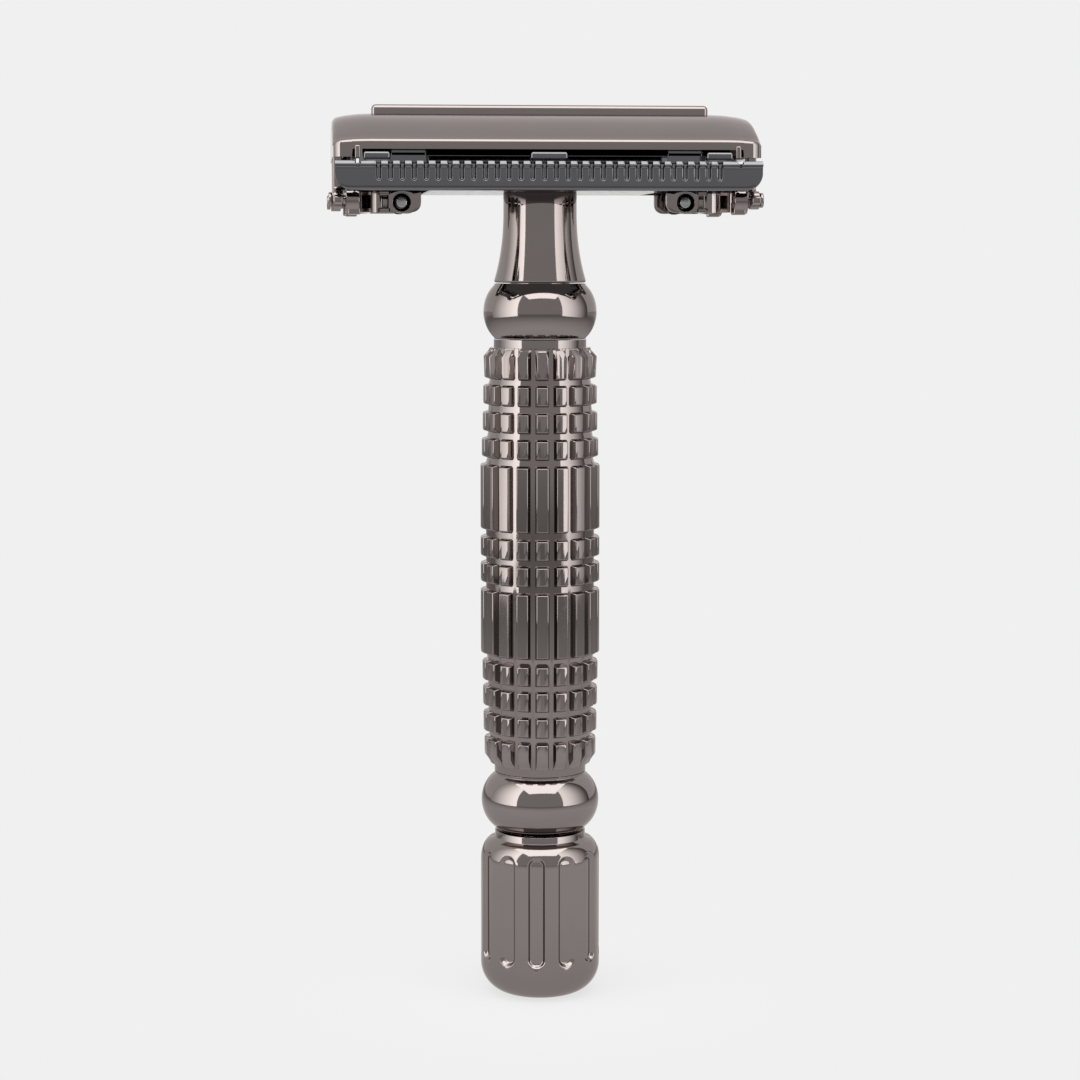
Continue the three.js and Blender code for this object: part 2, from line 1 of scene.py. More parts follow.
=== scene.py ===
"""Looks of a twist-to-open safety razor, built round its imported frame.

Every piece is modelled in millimetres and made metres as it is finished.
X runs along the head, -Y is the side of the front door, +Z is up, and the
razor stands on its knob at the origin.
"""

import functools
import json
import math

import bmesh
import bpy
from bpy.props import FloatProperty, FloatVectorProperty, IntProperty, PointerProperty
from mathutils import Matrix, Vector


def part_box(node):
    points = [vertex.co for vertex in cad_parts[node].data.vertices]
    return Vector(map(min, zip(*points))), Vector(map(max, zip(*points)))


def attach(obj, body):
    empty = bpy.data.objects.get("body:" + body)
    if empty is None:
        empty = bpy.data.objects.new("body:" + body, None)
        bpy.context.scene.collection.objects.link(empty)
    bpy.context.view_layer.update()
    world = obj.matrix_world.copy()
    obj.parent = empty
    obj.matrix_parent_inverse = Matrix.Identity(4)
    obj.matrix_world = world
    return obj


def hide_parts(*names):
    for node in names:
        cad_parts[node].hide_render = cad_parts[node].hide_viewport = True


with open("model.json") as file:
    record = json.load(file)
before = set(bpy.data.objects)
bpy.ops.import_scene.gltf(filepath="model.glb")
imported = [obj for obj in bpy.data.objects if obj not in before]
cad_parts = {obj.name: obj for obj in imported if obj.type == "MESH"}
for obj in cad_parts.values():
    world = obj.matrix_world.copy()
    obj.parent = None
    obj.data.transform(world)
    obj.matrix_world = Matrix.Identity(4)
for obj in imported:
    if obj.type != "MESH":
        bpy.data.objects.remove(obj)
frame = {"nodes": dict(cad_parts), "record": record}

bl_info = {
    "name": "Safety Razor",
    "version": (1, 0, 0),
    "blender": (4, 5, 0),
    "location": "View3D > Sidebar > Razor",
    "description": "Builds a polished twist-to-open safety razor in a small studio",
    "category": "Add Mesh",
}

MM = 0.001
WELD = 0.0002                  # points closer than this, in millimetres, are one
ROUND_STEPS = 96               # steps of a large turned piece
PIN_STEPS = 32                 # steps of a pin or rivet
FULL_TURN = 2 * math.pi
FRONT, REAR = -1, 1
LEFT, RIGHT = -1, 1
SIDES = {"front": FRONT, "rear": REAR}
ENDS = {"left": LEFT, "right": RIGHT}

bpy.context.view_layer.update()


@functools.cache
def box_mm(node):
    """Lowest and highest corner of a CAD node, in millimetres."""
    low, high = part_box(node)
    return low / MM, high / MM


def middle_mm(node):
    low, high = box_mm(node)
    return (low + high) / 2


def between(side, near, far):
    """Two distances from the middle, taken to one side of it, the lower one first."""
    return sorted((side * near, side * far))


# ---------------------------------------------------------------- settings


def length(name, description, default):
    return FloatProperty(
        name=name, description=description, default=default * MM, min=0.0, unit="LENGTH", subtype="DISTANCE")


def angle(name, description, default):
    return FloatProperty(
        name=name, description=description, default=math.radians(default), unit="ROTATION", subtype="ANGLE")


def colour(name, description, default):
    return FloatVectorProperty(
        name=name, description=description, default=default, subtype="COLOR", size=3, min=0.0, max=1.0)


def count(name, description, default, least, most):
    return IntProperty(name=name, description=description, default=default, min=least, max=most)


def strength(name, description, default):
    return FloatProperty(name=name, description=description, default=default, min=0.0)


class RazorSizes(bpy.types.PropertyGroup):
    """Sizes of the surface detail"""

    grip_columns: count("Grip columns", "Pads round the grip", 18, 6, 40)
    grip_gap: length("Grip gap", "Width of the grooves between pads", 0.55)
    grip_depth: length("Grip depth", "Height of a pad above its groove", 0.6)
    grip_turn: angle("Grip turn", "Angle of the pad that faces the front", -2.7)
    pad_slope: length("Pad slope", "Width of the sloping sides of a pad", 0.2)
    pad_round: length("Pad rounding", "Radius along the edges of a pad", 0.15)
    flutes: count("Flutes", "Flutes round the knob", 12, 4, 24)
    flute_width: length("Flute width", "Width of a flute of the knob", 2.1)
    flute_depth: length("Flute depth", "Depth of a flute of the knob", 0.42)
    flute_turn: angle("Flute turn", "Angle of the flute that faces the front", -8.6)
    comb_slots: count("Comb slots", "Slots along each side of the guard", 30, 4, 60)
    comb_pitch: length("Comb pitch", "Distance from one slot of the guard to the next", 1.217)
    comb_width: length("Comb slot width", "Width of a slot of the guard", 0.56)
    comb_depth: length("Comb slot depth", "Depth of a slot of the guard", 0.27)


class RazorFinish(bpy.types.PropertyGroup):
    """Colours of the metals"""

    plating: colour("Plating", "Warm gunmetal plating of the handle and doors", (0.262, 0.229, 0.219))
    guard: colour("Guard", "Dark neutral plating of the guard and blade bed", (0.165, 0.165, 0.172))
    steel: colour("Steel", "Plain turned steel of the pins", (0.48, 0.48, 0.47))
    spring: colour("Spring steel", "Hardened steel of the clip and washer", (0.36, 0.38, 0.40))
    brass: colour("Brass", "Turned brass of the bush and nut", (0.62, 0.42, 0.17))


class RazorStudio(bpy.types.PropertyGroup):
    """Light and camera of the small studio"""

    backdrop: strength("Backdrop", "Brightness of the plain backdrop", 0.871)
    left_box: strength("Left light", "Strength of the soft light on the left", 3.6)
    right_box: strength("Right light", "Strength of the soft light on the right", 3.0)
    top_box: strength("Top light", "Strength of the soft light overhead", 3.6)
    camera_turn: angle("Camera turn", "Angle of the camera round the razor", -5.2)
    camera_tilt: angle("Camera tilt", "Angle that the camera looks down", 6.37)
    camera_distance: length("Camera distance", "Level distance from the handle to the camera", 281.8)
    camera_height: length("Camera height", "Height of the camera over the floor", 81.6)
    camera_lens: FloatProperty(
        name="Camera lens", description="Focal length in millimetres for a 36 mm sensor",
        default=86.67, min=1.0, unit="CAMERA")


# ---------------------------------------------------------------- mesh helpers


def verts_of(result):
    return [g for g in result["geom"] if isinstance(g, bmesh.types.BMVert)]


def add_to(bm, other):
    """Puts the pieces of one bmesh into another and frees the first."""
    carrier = bpy.data.meshes.new("carrier")
    other.to_mesh(carrier)
    other.free()
    bm.from_mesh(carrier)
    bpy.data.meshes.remove(carrier)
    return bm


def chain(bm, points, closed=False):
    """Points joined by edges, ready to be spun or extruded."""
    verts = [bm.verts.new(p) for p in points]
    edges = [bm.edges.new(pair) for pair in zip(verts, verts[1:])]
    if closed:
        edges.append(bm.edges.new((verts[-1], verts[0])))
    return verts, edges


def spun(profile, steps=ROUND_STEPS, closed=False):
    """A body turned about Z from (radius, z) points; a closed profile leaves a bore."""
    bm = bmesh.new()
    verts, edges = chain(bm, [(radius, 0, z) for radius, z in profile], closed)
    bmesh.ops.spin(
        bm, geom=verts + edges, cent=(0, 0, 0), axis=(0, 0, 1),
        angle=FULL_TURN, steps=steps, use_merge=True)
    bmesh.ops.remove_doubles(bm, verts=bm.verts, dist=WELD)
    bmesh.ops.recalc_face_normals(bm, faces=bm.faces)
    return bm


def ellipse_arc(centre, radii, start, end, steps):
    """Points of an elliptical arc; angles in degrees from the second axis towards the first."""
    turns = [math.radians(start + (end - start) * i / steps) for i in range(steps + 1)]
    return [(centre[0] + radii[0] * math.sin(turn), centre[1] + radii[1] * math.cos(turn)) for turn in turns]


def arc(centre, radius, start, end, steps):
    return ellipse_arc(centre, (radius, radius), start, end, steps)


def on_plane(axis, along, u, v):
    """The point u, v of an outline, at a place along the axis it is drawn out on."""
    return {"X": (along, u, v), "Y": (u, along, v), "Z": (u, v, along)}[axis]


def extruded(outline, axis, low, high):
    """An outline in the plane across an axis, drawn out along it."""
    bm = bmesh.new()
    face = bm.faces.new([bm.verts.new(on_plane(axis, low, u, v)) for u, v in outline])
    end = bmesh.ops.extrude_face_region(bm, geom=[face])
    bmesh.ops.translate(bm, verts=verts_of(end), vec=Vector(on_plane(axis, high - low, 0, 0)))
    bmesh.ops.recalc_face_normals(bm, faces=bm.faces)
    return bm


def drawn_along_x(section, stations):
    """A closed (y, z) section drawn out through a list of places along X, with its ends filled."""
    bm = bmesh.new()
    verts, edges = chain(bm, [(stations[0], y, z) for y, z in section], closed=True)
    bm.faces.new(verts)
    for here, there in zip(stations, stations[1:]):
        step = bmesh.ops.extrude_edge_only(bm, edges=edges)
        edges = [g for g in step["geom"] if isinstance(g, bmesh.types.BMEdge)]
        bmesh.ops.translate(bm, verts=verts_of(step), vec=(there - here, 0, 0))
    bmesh.ops.contextual_create(bm, geom=edges)
    bmesh.ops.recalc_face_normals(bm, faces=bm.faces)
    return bm


def eased(share):
    """A share from 0 to 1 that starts and ends gently."""
    return share * share * (3 - 2 * share)


def headings(steps):
    """Directions spaced evenly round a circle."""
    return [(math.cos(FULL_TURN * i / steps), math.sin(FULL_TURN * i / steps)) for i in range(steps)]


def rod_along(axis, radius, low, high, centre, steps=PIN_STEPS):
    """A round bar between two places along an axis; centre is its middle in the other two."""
    return extruded([
        (centre[0] + radius * across, centre[1] + radius * up) for across, up in headings(steps)
    ], axis, low, high)


def sharp_edges(bm, least=35.0):
    limit = math.radians(least)
    return [e for e in bm.edges if len(e.link_faces) == 2 and e.calc_face_angle() > limit]


def rounded(bm, offset, segments=3, edges=None, least=35.0):
    """Rounds the given edges, or every sharp one."""
    bmesh.ops.bevel(
        bm, geom=sharp_edges(bm, least) if edges is None else edges,
        offset=offset, offset_type="OFFSET", segments=segments, profile=0.5,
        affect="EDGES", clamp_overlap=True, material=-1)
    return bm


def block(low, high, round_by=0.1, segments=3):
    """A box between two corners with rounded edges."""
    bm = bmesh.new()
    bmesh.ops.create_cube(bm, size=1.0)
    low, high = Vector(low), Vector(high)
    bmesh.ops.scale(bm, verts=bm.verts, vec=high - low)
    bmesh.ops.translate(bm, verts=bm.verts, vec=(low + high) / 2)
    return rounded(bm, round_by, segments)


def block_beside(end, side, x, y, z, round_by, segments=3):
    """A rounded box between distances from the middle, at one end and on one side."""
    (x0, x1), (y0, y1) = between(end, *x), between(side, *y)
    return block((x0, y0, z[0]), (x1, y1, z[1]), round_by, segments)


def turned(bm, angle, axis):
    bmesh.ops.rotate(bm, verts=bm.verts, cent=(0, 0, 0), matrix=Matrix.Rotation(angle, 3, axis))
    return bm


def moved(bm, x=0.0, y=0.0, z=0.0):
    bmesh.ops.translate(bm, verts=bm.verts, vec=(x, y, z))
    return bm


def mirrored(bm):
    """The mesh mirrored from right to left, its faces turned out again."""
    bmesh.ops.scale(bm, verts=bm.verts, vec=(-1, 1, 1))
    bmesh.ops.reverse_faces(bm, faces=bm.faces)
    return bm


def object_of(name, bm, material):
    """An object of a mesh that is done, with one material."""
    mesh = bpy.data.meshes.new(name)
    bm.to_mesh(mesh)
    bm.free()
    mesh.materials.append(material)
    new_object = bpy.data.objects.new(name, mesh)
    bpy.context.scene.collection.objects.link(new_object)
    return new_object


def finished(name, bm, body, slot, *nodes, flat_over=40.0):
    """Makes a piece of a mesh, in metres, and puts it on its body in place of CAD nodes."""
    bmesh.ops.remove_doubles(bm, verts=bm.verts, dist=WELD)
    bmesh.ops.scale(bm, verts=bm.verts, vec=(MM, MM, MM))
    piece = object_of(name, bm, material_for(slot))
    piece.data.shade_smooth()
    piece.data.set_sharp_from_angle(angle=math.radians(flat_over))
    weighted = piece.modifiers.new("Weighted normals", "WEIGHTED_NORMAL")
    weighted.keep_sharp = True
    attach(piece, body)
    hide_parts(*nodes)
    return piece


# ---------------------------------------------------------------- materials


COLOUR_A, COLOUR_B = 6, 7      # a Mix node's two colour inputs
COLOUR_RESULT = 2              # and its colour output


def put(tree, kind, **values):
    """A node with its settings and its sockets' values."""
    node = tree.nodes.new(kind)
    for name, value in values.items():
        if hasattr(node, name):
            setattr(node, name, value)
        else:
            node.inputs[name.replace("_", " ")].default_value = value
    return node


def wire(source, output, target, entry):
    """Joins one node's output to another's input."""
    source.id_data.links.new(source.outputs[output], target.inputs[entry])


def new_material(name):
    material = bpy.data.materials.new(name)
    material.use_nodes = True
    return material, material.node_tree


def polish_group():
    """Slow drift of tone and fine wipe marks that polished plating shows close up."""
    if "Polish" in bpy.data.node_groups:
        return bpy.data.node_groups["Polish"]
    tree = bpy.data.node_groups.new("Polish", "ShaderNodeTree")
    for way, kind, names in (
            ("INPUT", "Color", ("Colour", "Shade")), ("INPUT", "Float", ("Smooth", "Hazy")),
            ("OUTPUT", "Color", ("Colour",)), ("OUTPUT", "Float", ("Roughness", "Height"))):
        for name in names:
            tree.interface.new_socket(name, in_out=way, socket_type=f"NodeSocket{kind}")
    inside, outside = put(tree, "NodeGroupInput"), put(tree, "NodeGroupOutput")
    place = put(tree, "ShaderNodeTexCoord")
    drift = put(tree, "ShaderNodeTexNoise", Scale=160.0, Detail=3.0, Roughness=0.55)
    haze = put(tree, "ShaderNodeTexNoise", Scale=900.0, Detail=4.0, Roughness=0.6)
    peel = put(tree, "ShaderNodeTexNoise", Scale=1400.0, Detail=1.0)
    stretch = put(tree, "ShaderNodeMapping", Scale=(1.0, 1.0, 0.06))
    wipes = put(tree, "ShaderNodeTexNoise", Scale=9000.0, Detail=2.0)
    for texture in (drift, haze, peel):
        wire(place, "Object", texture, "Vector")
    wire(place, "Object", stretch, "Vector")
    wire(stretch, "Vector", wipes, "Vector")
    blend = put(tree, "ShaderNodeMix", data_type="RGBA")
    wire(drift, "Fac", blend, "Factor")
    wire(inside, "Colour", blend, COLOUR_A)
    wire(inside, "Shade", blend, COLOUR_B)
    wire(blend, COLOUR_RESULT, outside, "Colour")
    rough = put(tree, "ShaderNodeMapRange", From_Min=0.35, From_Max=0.7)
    wire(haze, "Fac", rough, "Value")
    wire(inside, "Smooth", rough, "To Min")
    wire(inside, "Hazy", rough, "To Max")
    wire(rough, "Result", outside, "Roughness")
    marks = put(tree, "ShaderNodeMath", operation="MULTIPLY_ADD")
    marks.inputs[1].default_value = 0.35
    wire(wipes, "Fac", marks, 0)
    wire(peel, "Fac", marks, 2)
    wire(marks, "Value", outside, "Height")
    return tree


# slot: colour setting, tone of the darker drift, least and most roughness, strength of the bump
FINISHES = {
    "gunmetal_plate": ("plating", 0.90, 0.045, 0.085, 0.012),
    "dark_chrome": ("guard", 0.88, 0.06, 0.12, 0.015),
    "pin_steel": ("steel", 0.80, 0.20, 0.34, 0.06),
    "spring_steel": ("spring", 0.80, 0.24, 0.38, 0.06),
    "bush_brass": ("brass", 0.82, 0.22, 0.36, 0.06),
}
GRAZING_TINT = (0.84, 0.80, 0.79, 1.0)   # the metals' colour where they are seen edge on
BUMP_HEIGHT = 0.02 * MM


def material_for(slot):
    """The metal of a material slot, built once."""
    name = f"{slot}_finish"
    if name in bpy.data.materials:
        return bpy.data.materials[name]
    setting, darker, smooth, hazy, bump_share = FINISHES[slot]
    colour = getattr(bpy.context.scene.razor_finish, setting)
    material, tree = new_material(name)
    shader = tree.nodes["Principled BSDF"]
    shader.inputs["Metallic"].default_value = 1.0
    shader.inputs["Specular Tint"].default_value = GRAZING_TINT
    polish = put(tree, "ShaderNodeGroup", node_tree=polish_group())
    for entry, value in (("Colour", (*colour, 1.0)), ("Shade", (*(c * darker for c in colour), 1.0)),
                         ("Smooth", smooth), ("Hazy", hazy)):
        polish.inputs[entry].default_value = value
    bump = put(tree, "ShaderNodeBump", Strength=bump_share, Distance=BUMP_HEIGHT)
    wire(polish, "Height", bump, "Height")
    wire(polish, "Colour", shader, "Base Color")
    wire(polish, "Roughness", shader, "Roughness")
    wire(bump, "Normal", shader, "Normal")
    return material


def clothe_frame():
    """Gives every CAD node that still shows the metal of its slot."""
    slots = {row["node"]: row["material_slot"] for row in frame["record"]["subparts"]}
    for node, piece in frame["nodes"].items():
        piece.data.materials.clear()
        piece.data.materials.append(material_for(slots[node]))


# ---------------------------------------------------------------- handle

ROW_SPREAD = 0.07              # how far the foot of a pad reaches past its row
# rows of pads, from the knob up: bottom, top, radius
GRIP_ROWS = tuple((bottom - ROW_SPREAD, top + ROW_SPREAD, radius) for bottom, top, radius in (
    (25.83, 28.59, 6.11), (29.27, 31.41, 6.21), (32.11, 34.25, 6.26), (34.92, 37.09, 6.31),
    (37.87, 44.95, 6.48), (45.70, 47.87, 6.47), (48.51, 50.72, 6.47), (51.47, 58.57, 6.48),
    (59.32, 61.40, 6.33), (62.12, 64.24, 6.22), (65.00, 67.14, 6.16), (67.81, 71.06, 6.04),
))
COLLAR_RADIUS = 5.0
END_TAPER = 1.0                # height over which the two end rows slope to the collars
END_DROP = 0.55                # how far they slope
PAD_STEPS, GAP_STEPS = 5, 3
PAD_CORNER = math.radians(20)  # an edge of a pad that turns by more than this is rounded


def grip_profile(depth):
    """Closed profile of the barrel along the bottom of its grooves."""
    low, high = box_mm("grip_barrel")
    bore = box_mm("bearing_bush")[1].x
    points = [(bore, low.z), (COLLAR_RADIUS, low.z)]
    for index, (bottom, top, radius) in enumerate(GRIP_ROWS):
        groove = radius - depth
        if index == 0:
            points += [(COLLAR_RADIUS, bottom - 0.02), (groove, bottom), (groove, bottom + END_TAPER)]
        else:
            points.append((groove, bottom))
        if index == len(GRIP_ROWS) - 1:
            points += [(groove, top - END_TAPER), (groove, top), (COLLAR_RADIUS, top + 0.02)]
        else:
            points.append((groove, top))
    return points + [(COLLAR_RADIUS, high.z), (bore, high.z)]


def sectored_turn(profile, sectors, widths, steps, start):
    """Spins a closed profile in repeating spans; returns the bmesh and the first span's faces."""
    bm = bmesh.new()
    verts, edges = chain(bm, [(radius, 0, z) for radius, z in profile], closed=True)
    bmesh.ops.rotate(bm, verts=verts, cent=(0, 0, 0), matrix=Matrix.Rotation(start, 3, "Z"))
    geometry, marked = verts + edges, set()
    for _ in range(sectors):
        for span, (width, count) in enumerate(zip(widths, steps)):
            before = set(bm.faces)
            turn = bmesh.ops.spin(
                bm, geom=geometry, cent=(0, 0, 0), axis=(0, 0, 1),
                angle=width, steps=count, use_merge=False)
            geometry = turn["geom_last"]
            if span == 0:
                marked |= set(bm.faces) - before
    bmesh.ops.remove_doubles(bm, verts=bm.verts, dist=WELD)
    bmesh.ops.delete(bm, geom=[e for e in bm.edges if e.is_wire], context="EDGES")
    bmesh.ops.recalc_face_normals(bm, faces=bm.faces)
    return bm, [f for f in marked if f.is_valid]


def facing_out(face):
    """Whether a face looks away from the handle's axis, give or take a slope."""
    centre = face.calc_center_median()
    return face.normal.x * centre.x + face.normal.y * centre.y > 0.3 * centre.xy.length


def raised_edges(top_faces, side_faces):
    """The edges round the tops of raised or sunk islands, and down their corners."""
    tops, sides = set(top_faces), set(side_faces)
    edges = set()
    for face in sides:
        for edge in face.edges:
            others = [f for f in edge.link_faces if f != face]
            if not others or edge.calc_face_angle(0) < PAD_CORNER:
                continue
            if others[0] in tops or others[0] in sides:
                edges.add(edge)
    return list(edges)


def build_grip():
    sizes = bpy.context.scene.razor_sizes
    depth, gap = sizes.grip_depth / MM, sizes.grip_gap / MM
    sector = FULL_TURN / sizes.grip_columns
    gap_angle = gap / GRIP_ROWS[len(GRIP_ROWS) // 2][2]
    pad_angle = sector - gap_angle
    start = -math.pi / 2 + sizes.grip_turn - pad_angle / 2
    bm, pads = sectored_turn(
        grip_profile(depth), sizes.grip_columns, (pad_angle, gap_angle), (PAD_STEPS, GAP_STEPS), start)
    soft = []
    for index, (bottom, top, _) in enumerate(GRIP_ROWS):
        row = [f for f in pads if f.is_valid and facing_out(f)
               and bottom < f.calc_center_median().z < top]
        raised = bmesh.ops.inset_region(
            bm, faces=row, thickness=sizes.pad_slope / MM, depth=depth,
            use_even_offset=True, use_boundary=True)
        if index in (0, len(GRIP_ROWS) - 1):
            slope_end(row, bottom if index == 0 else top)
        soft += raised_edges(row, raised["faces"])
    rounded(bm, sizes.pad_round / MM, 3, edges=soft)
    finished("grip", bm, "handle", "gunmetal_plate", "grip_barrel")


def slope_end(faces, end_z):
    """Leans the outer ends of an end row in towards its collar."""
    for vert in {v for f in faces for v in f.verts}:
        if abs(vert.co.z - end_z) < END_TAPER / 2:
            radius = vert.co.xy.length
            vert.co.xy *= (radius - END_DROP) / radius


# foot radius, top radius, middle of the belly's curve, its half height, its first and last angle
BEADS = {
    "lower": (5.1, 4.98, (3.6, 21.5), 3.35, 148, 28),
    "upper": (4.95, 4.9, (3.3, 75.0), 3.5, 144, 38),
}


def build_beads():
    bore = box_mm("bearing_bush")[1].x
    for word, (foot, top, middle, half_height, first, last) in BEADS.items():
        low, high = box_mm(f"{word}_bead")
        profile = [(bore, low.z), (foot, low.z)]
        profile += ellipse_arc(middle, (high.x - middle[0], half_height), first, last, 20)
        profile += [(top, high.z), (bore, high.z)]
        bead = rounded(spun(profile, closed=True), 0.06, 2)
        finished(f"bead_{word}", bead, "handle", "gunmetal_plate", f"{word}_bead")


FLARE_STEPS, FLARE_CURVE = 24, 2.3


def neck_profile():
    """The neck: a slim tube that flares down to its foot on the upper bead."""
    top = box_mm("neck_tube")[1].z
    guard_floor = box_mm("guard_plate")[0].z
    spigot = box_mm("upper_bead")[0].z
    bore = box_mm("lift_rod")[1].x + 0.1
    slim, foot, foot_z, flare_top = 3.95, 4.96, 78.3, 86.0
    spigot_radius, swage_radius = 3.2, 2.9
    points = [(bore, spigot), (spigot_radius, spigot), (spigot_radius, foot_z - 0.2),
              (foot - 0.1, foot_z - 0.2), (foot, foot_z)]
    for i in range(1, FLARE_STEPS + 1):
        share = i / FLARE_STEPS
        radius = slim + (foot - slim) * (1 - share) ** FLARE_CURVE
        points.append((radius, foot_z + (flare_top - foot_z) * share))
    return points + [
        (slim, guard_floor), (swage_radius, guard_floor), (swage_radius, top), (bore, top)]


def build_neck():
    neck = rounded(spun(neck_profile(), closed=True), 0.05, 2, least=50)
    finished("neck", neck, "handle", "gunmetal_plate", "neck_tube")
    low, high = box_mm("neck_collar")
    bore = 2.98
    ring = [(bore, low.z), (high.x, low.z), (high.x, high.z), (bore, high.z)]
    collar = rounded(spun(ring, closed=True), 0.12, 3)
    finished("swaged_collar", collar, "handle", "pin_steel", "neck_collar")


# ---------------------------------------------------------------- knob

FLUTE_SPANS = (0.3, 0.4, 0.3)          # the wall, floor and wall of a flute, as shares of its width
FLUTE_STEPS = (8, 3, 8)
LAND_STEPS = 4
FLUTE_WALL = 0.38                      # how much of the way to the middle a flute's wall takes
FLUTE_LOW, FLUTE_HIGH = 3.95, 16.3     # where the flutes end, below and above
FLUTE_END = 1.0                        # height over which an end rounds off
SKIRT_RADIUS = 5.2                     # only what lies further out than this is fluted
SHOULDER_TOP = (4.98, 17.36)           # radius and height where the shoulder meets the plain ring


def knob_profile():
    """Closed profile of the knob round the socket for its spindle."""
    high = box_mm("knob")[1]
    radius, socket = high.x, box_mm("drive_screw")[1].x + 0.1
    base, corner = 3.35, 3.3
    floor_z = box_mm("drive_screw")[0].z - 0.3
    points = [(0.0, 0.0), (base, 0.0)]
    points += ellipse_arc((base, corner), (radius - base, corner), 172, 90, 12)
    points += [(radius, FLUTE_LOW + FLUTE_END * i / 10) for i in range(11)]
    points += [(radius, z) for z in (8.0, 11.0, 13.0, 14.0, 14.6, 14.95)]
    points += ellipse_arc((radius - 1.75, 15.0), (1.75, 2.4), 84, 28, 22)
    points += [SHOULDER_TOP, (4.95, 17.42), (4.95, high.z)]
    return points + [(socket, high.z), (socket, floor_z), (0.0, floor_z)]


def flute_share(turn, half, z):
    """How deep a flute is at an angle from its middle and a height, from 0 to 1."""
    below = FLUTE_LOW + FLUTE_END - z
    above = z - FLUTE_HIGH + FLUTE_END
    away = math.hypot(turn / half, max(0.0, below, above) / FLUTE_END)
    return eased(min(1.0, max(0.0, 1 - away) / FLUTE_WALL))


def build_knob():
    sizes = bpy.context.scene.razor_sizes
    sector = FULL_TURN / sizes.flutes
    flute_angle = sizes.flute_width / MM / box_mm("knob")[1].x
    start = -math.pi / 2 + sizes.flute_turn - flute_angle / 2
    widths = [flute_angle * share for share in FLUTE_SPANS] + [sector - flute_angle]
    bm, _ = sectored_turn(knob_profile(), sizes.flutes, widths, (*FLUTE_STEPS, LAND_STEPS), start)
    bm.normal_update()
    for vert in bm.verts:
        if vert.co.xy.length > SKIRT_RADIUS and FLUTE_LOW < vert.co.z < FLUTE_HIGH:
            heading = math.atan2(vert.co.y, vert.co.x) - start - flute_angle / 2
            turn = (heading + sector / 2) % sector - sector / 2
            share = flute_share(turn, flute_angle / 2, vert.co.z)
            vert.co -= vert.normal * share * sizes.flute_depth / MM
    rim = SHOULDER_TOP[1] - 0.06
    ring = [e for e in sharp_edges(bm, 50) if e.verts[0].co.z > rim and e.verts[0].co.xy.length > 4]
    rounded(bm, 0.1, 3, edges=ring)
    finished("fluted_knob", bm, "knob", "gunmetal_plate", "knob", flat_over=60)


# ---------------------------------------------------------------- head, fixed pieces

RAIL_INNER_Y, RAIL_FACE_Y = 11.2, 12.0
RIDGE_RADIUS = 0.36
RIDGE_FLAT = 0.76              # from the ridge's middle to its slanting flat, as a share of its radius
WALL_ROWS = (0.7, 0.9, 0.98, 1.05, 1.13, 1.23, 1.4, 1.7, 2.0)   # rows of the wall that the comb slots shape
SLOT_FOOT = 1.0                # height over the rail's underside where a slot's round foot ends
RAIL_END_ROUND = 1.8
NOTCH_X, NOTCH_HALF, NOTCH_DEEP = 19.75, 0.35, 0.72


def rail_section():
    """The front rail in (y, z): a plain wall with a rolled ridge along its top."""
    low, high = box_mm("guard_plate")
    ridge = (-RAIL_FACE_Y + 0.05, high.z - RIDGE_RADIUS)
    points = [(-RAIL_INNER_Y, low.z + 0.05), (-RAIL_FACE_Y + 0.4, low.z), (-RAIL_FACE_Y + 0.14, low.z + 0.06),
              (-RAIL_FACE_Y + 0.04, low.z + 0.16), (-RAIL_FACE_Y, low.z + 0.32)]
    points += [(-RAIL_FACE_Y, low.z + rise) for rise in WALL_ROWS]
    hollow = ((0.0, 0.8), (0.02, 0.68), (0.1, 0.56))
    points += [(-RAIL_FACE_Y - proud, high.z - fall) for proud, fall in hollow]
    slant = Vector((-1, 1)).normalized()
    for point in arc(ridge, RIDGE_RADIUS, -115, 100, 18):
        excess = (Vector(point) - Vector(ridge)).dot(slant) - RIDGE_FLAT * RIDGE_RADIUS
        points.append(tuple(Vector(point) - max(0.0, excess) * slant))
    return points + [(-RAIL_INNER_Y, high.z - 0.62)]


# places across half a slot, as shares of its half width
SLOT_PROFILE = (0.0, 0.3, 0.52, 0.68, 0.8, 0.9, 1.0)
SLOT_STEEPNESS = 1.7


def rail_stations(sizes):
    """Places along X where the rail changes: comb slots, notches and rounded ends."""
    half = box_mm("guard_plate")[1].x
    pitch, reach = sizes.comb_pitch / MM, sizes.comb_width / MM / 2
    places = []
    for i in range(sizes.comb_slots):
        x = (i - (sizes.comb_slots - 1) / 2) * pitch
        places += [x + side * share * reach for share in SLOT_PROFILE for side in (LEFT, RIGHT)]
    ends = [NOTCH_X + NOTCH_HALF * share for share in (-1.0, -0.9, -0.45, 0.0, 0.45, 0.9, 1.0)]
    ends += [half - RAIL_END_ROUND * (1 - math.sin(math.radians(a))) for a in (8, 20, 32, 44, 56, 67, 77)]
    ends += [half - 0.12, half - 0.04, half]
    places += [side * x for x in ends for side in (LEFT, RIGHT)]
    return sorted({round(x, 4) for x in places})


def slot_depth(x, z, sizes):
    """How deep a comb slot is at a point of the rail, from 0 to 1."""
    pitch, reach = sizes.comb_pitch / MM, sizes.comb_width / MM / 2
    first = -(sizes.comb_slots - 1) / 2 * pitch
    index = min(max(round((x - first) / pitch), 0), sizes.comb_slots - 1)
    across = abs(x - first - index * pitch)
    foot = box_mm("guard_plate")[0].z + SLOT_FOOT + reach
    away = across if z > foot else math.hypot(across, foot - z)
    share = 1 - away / reach
    if share <= 0:
        return 0.0
    return eased(min(1.0, share * SLOT_STEEPNESS))


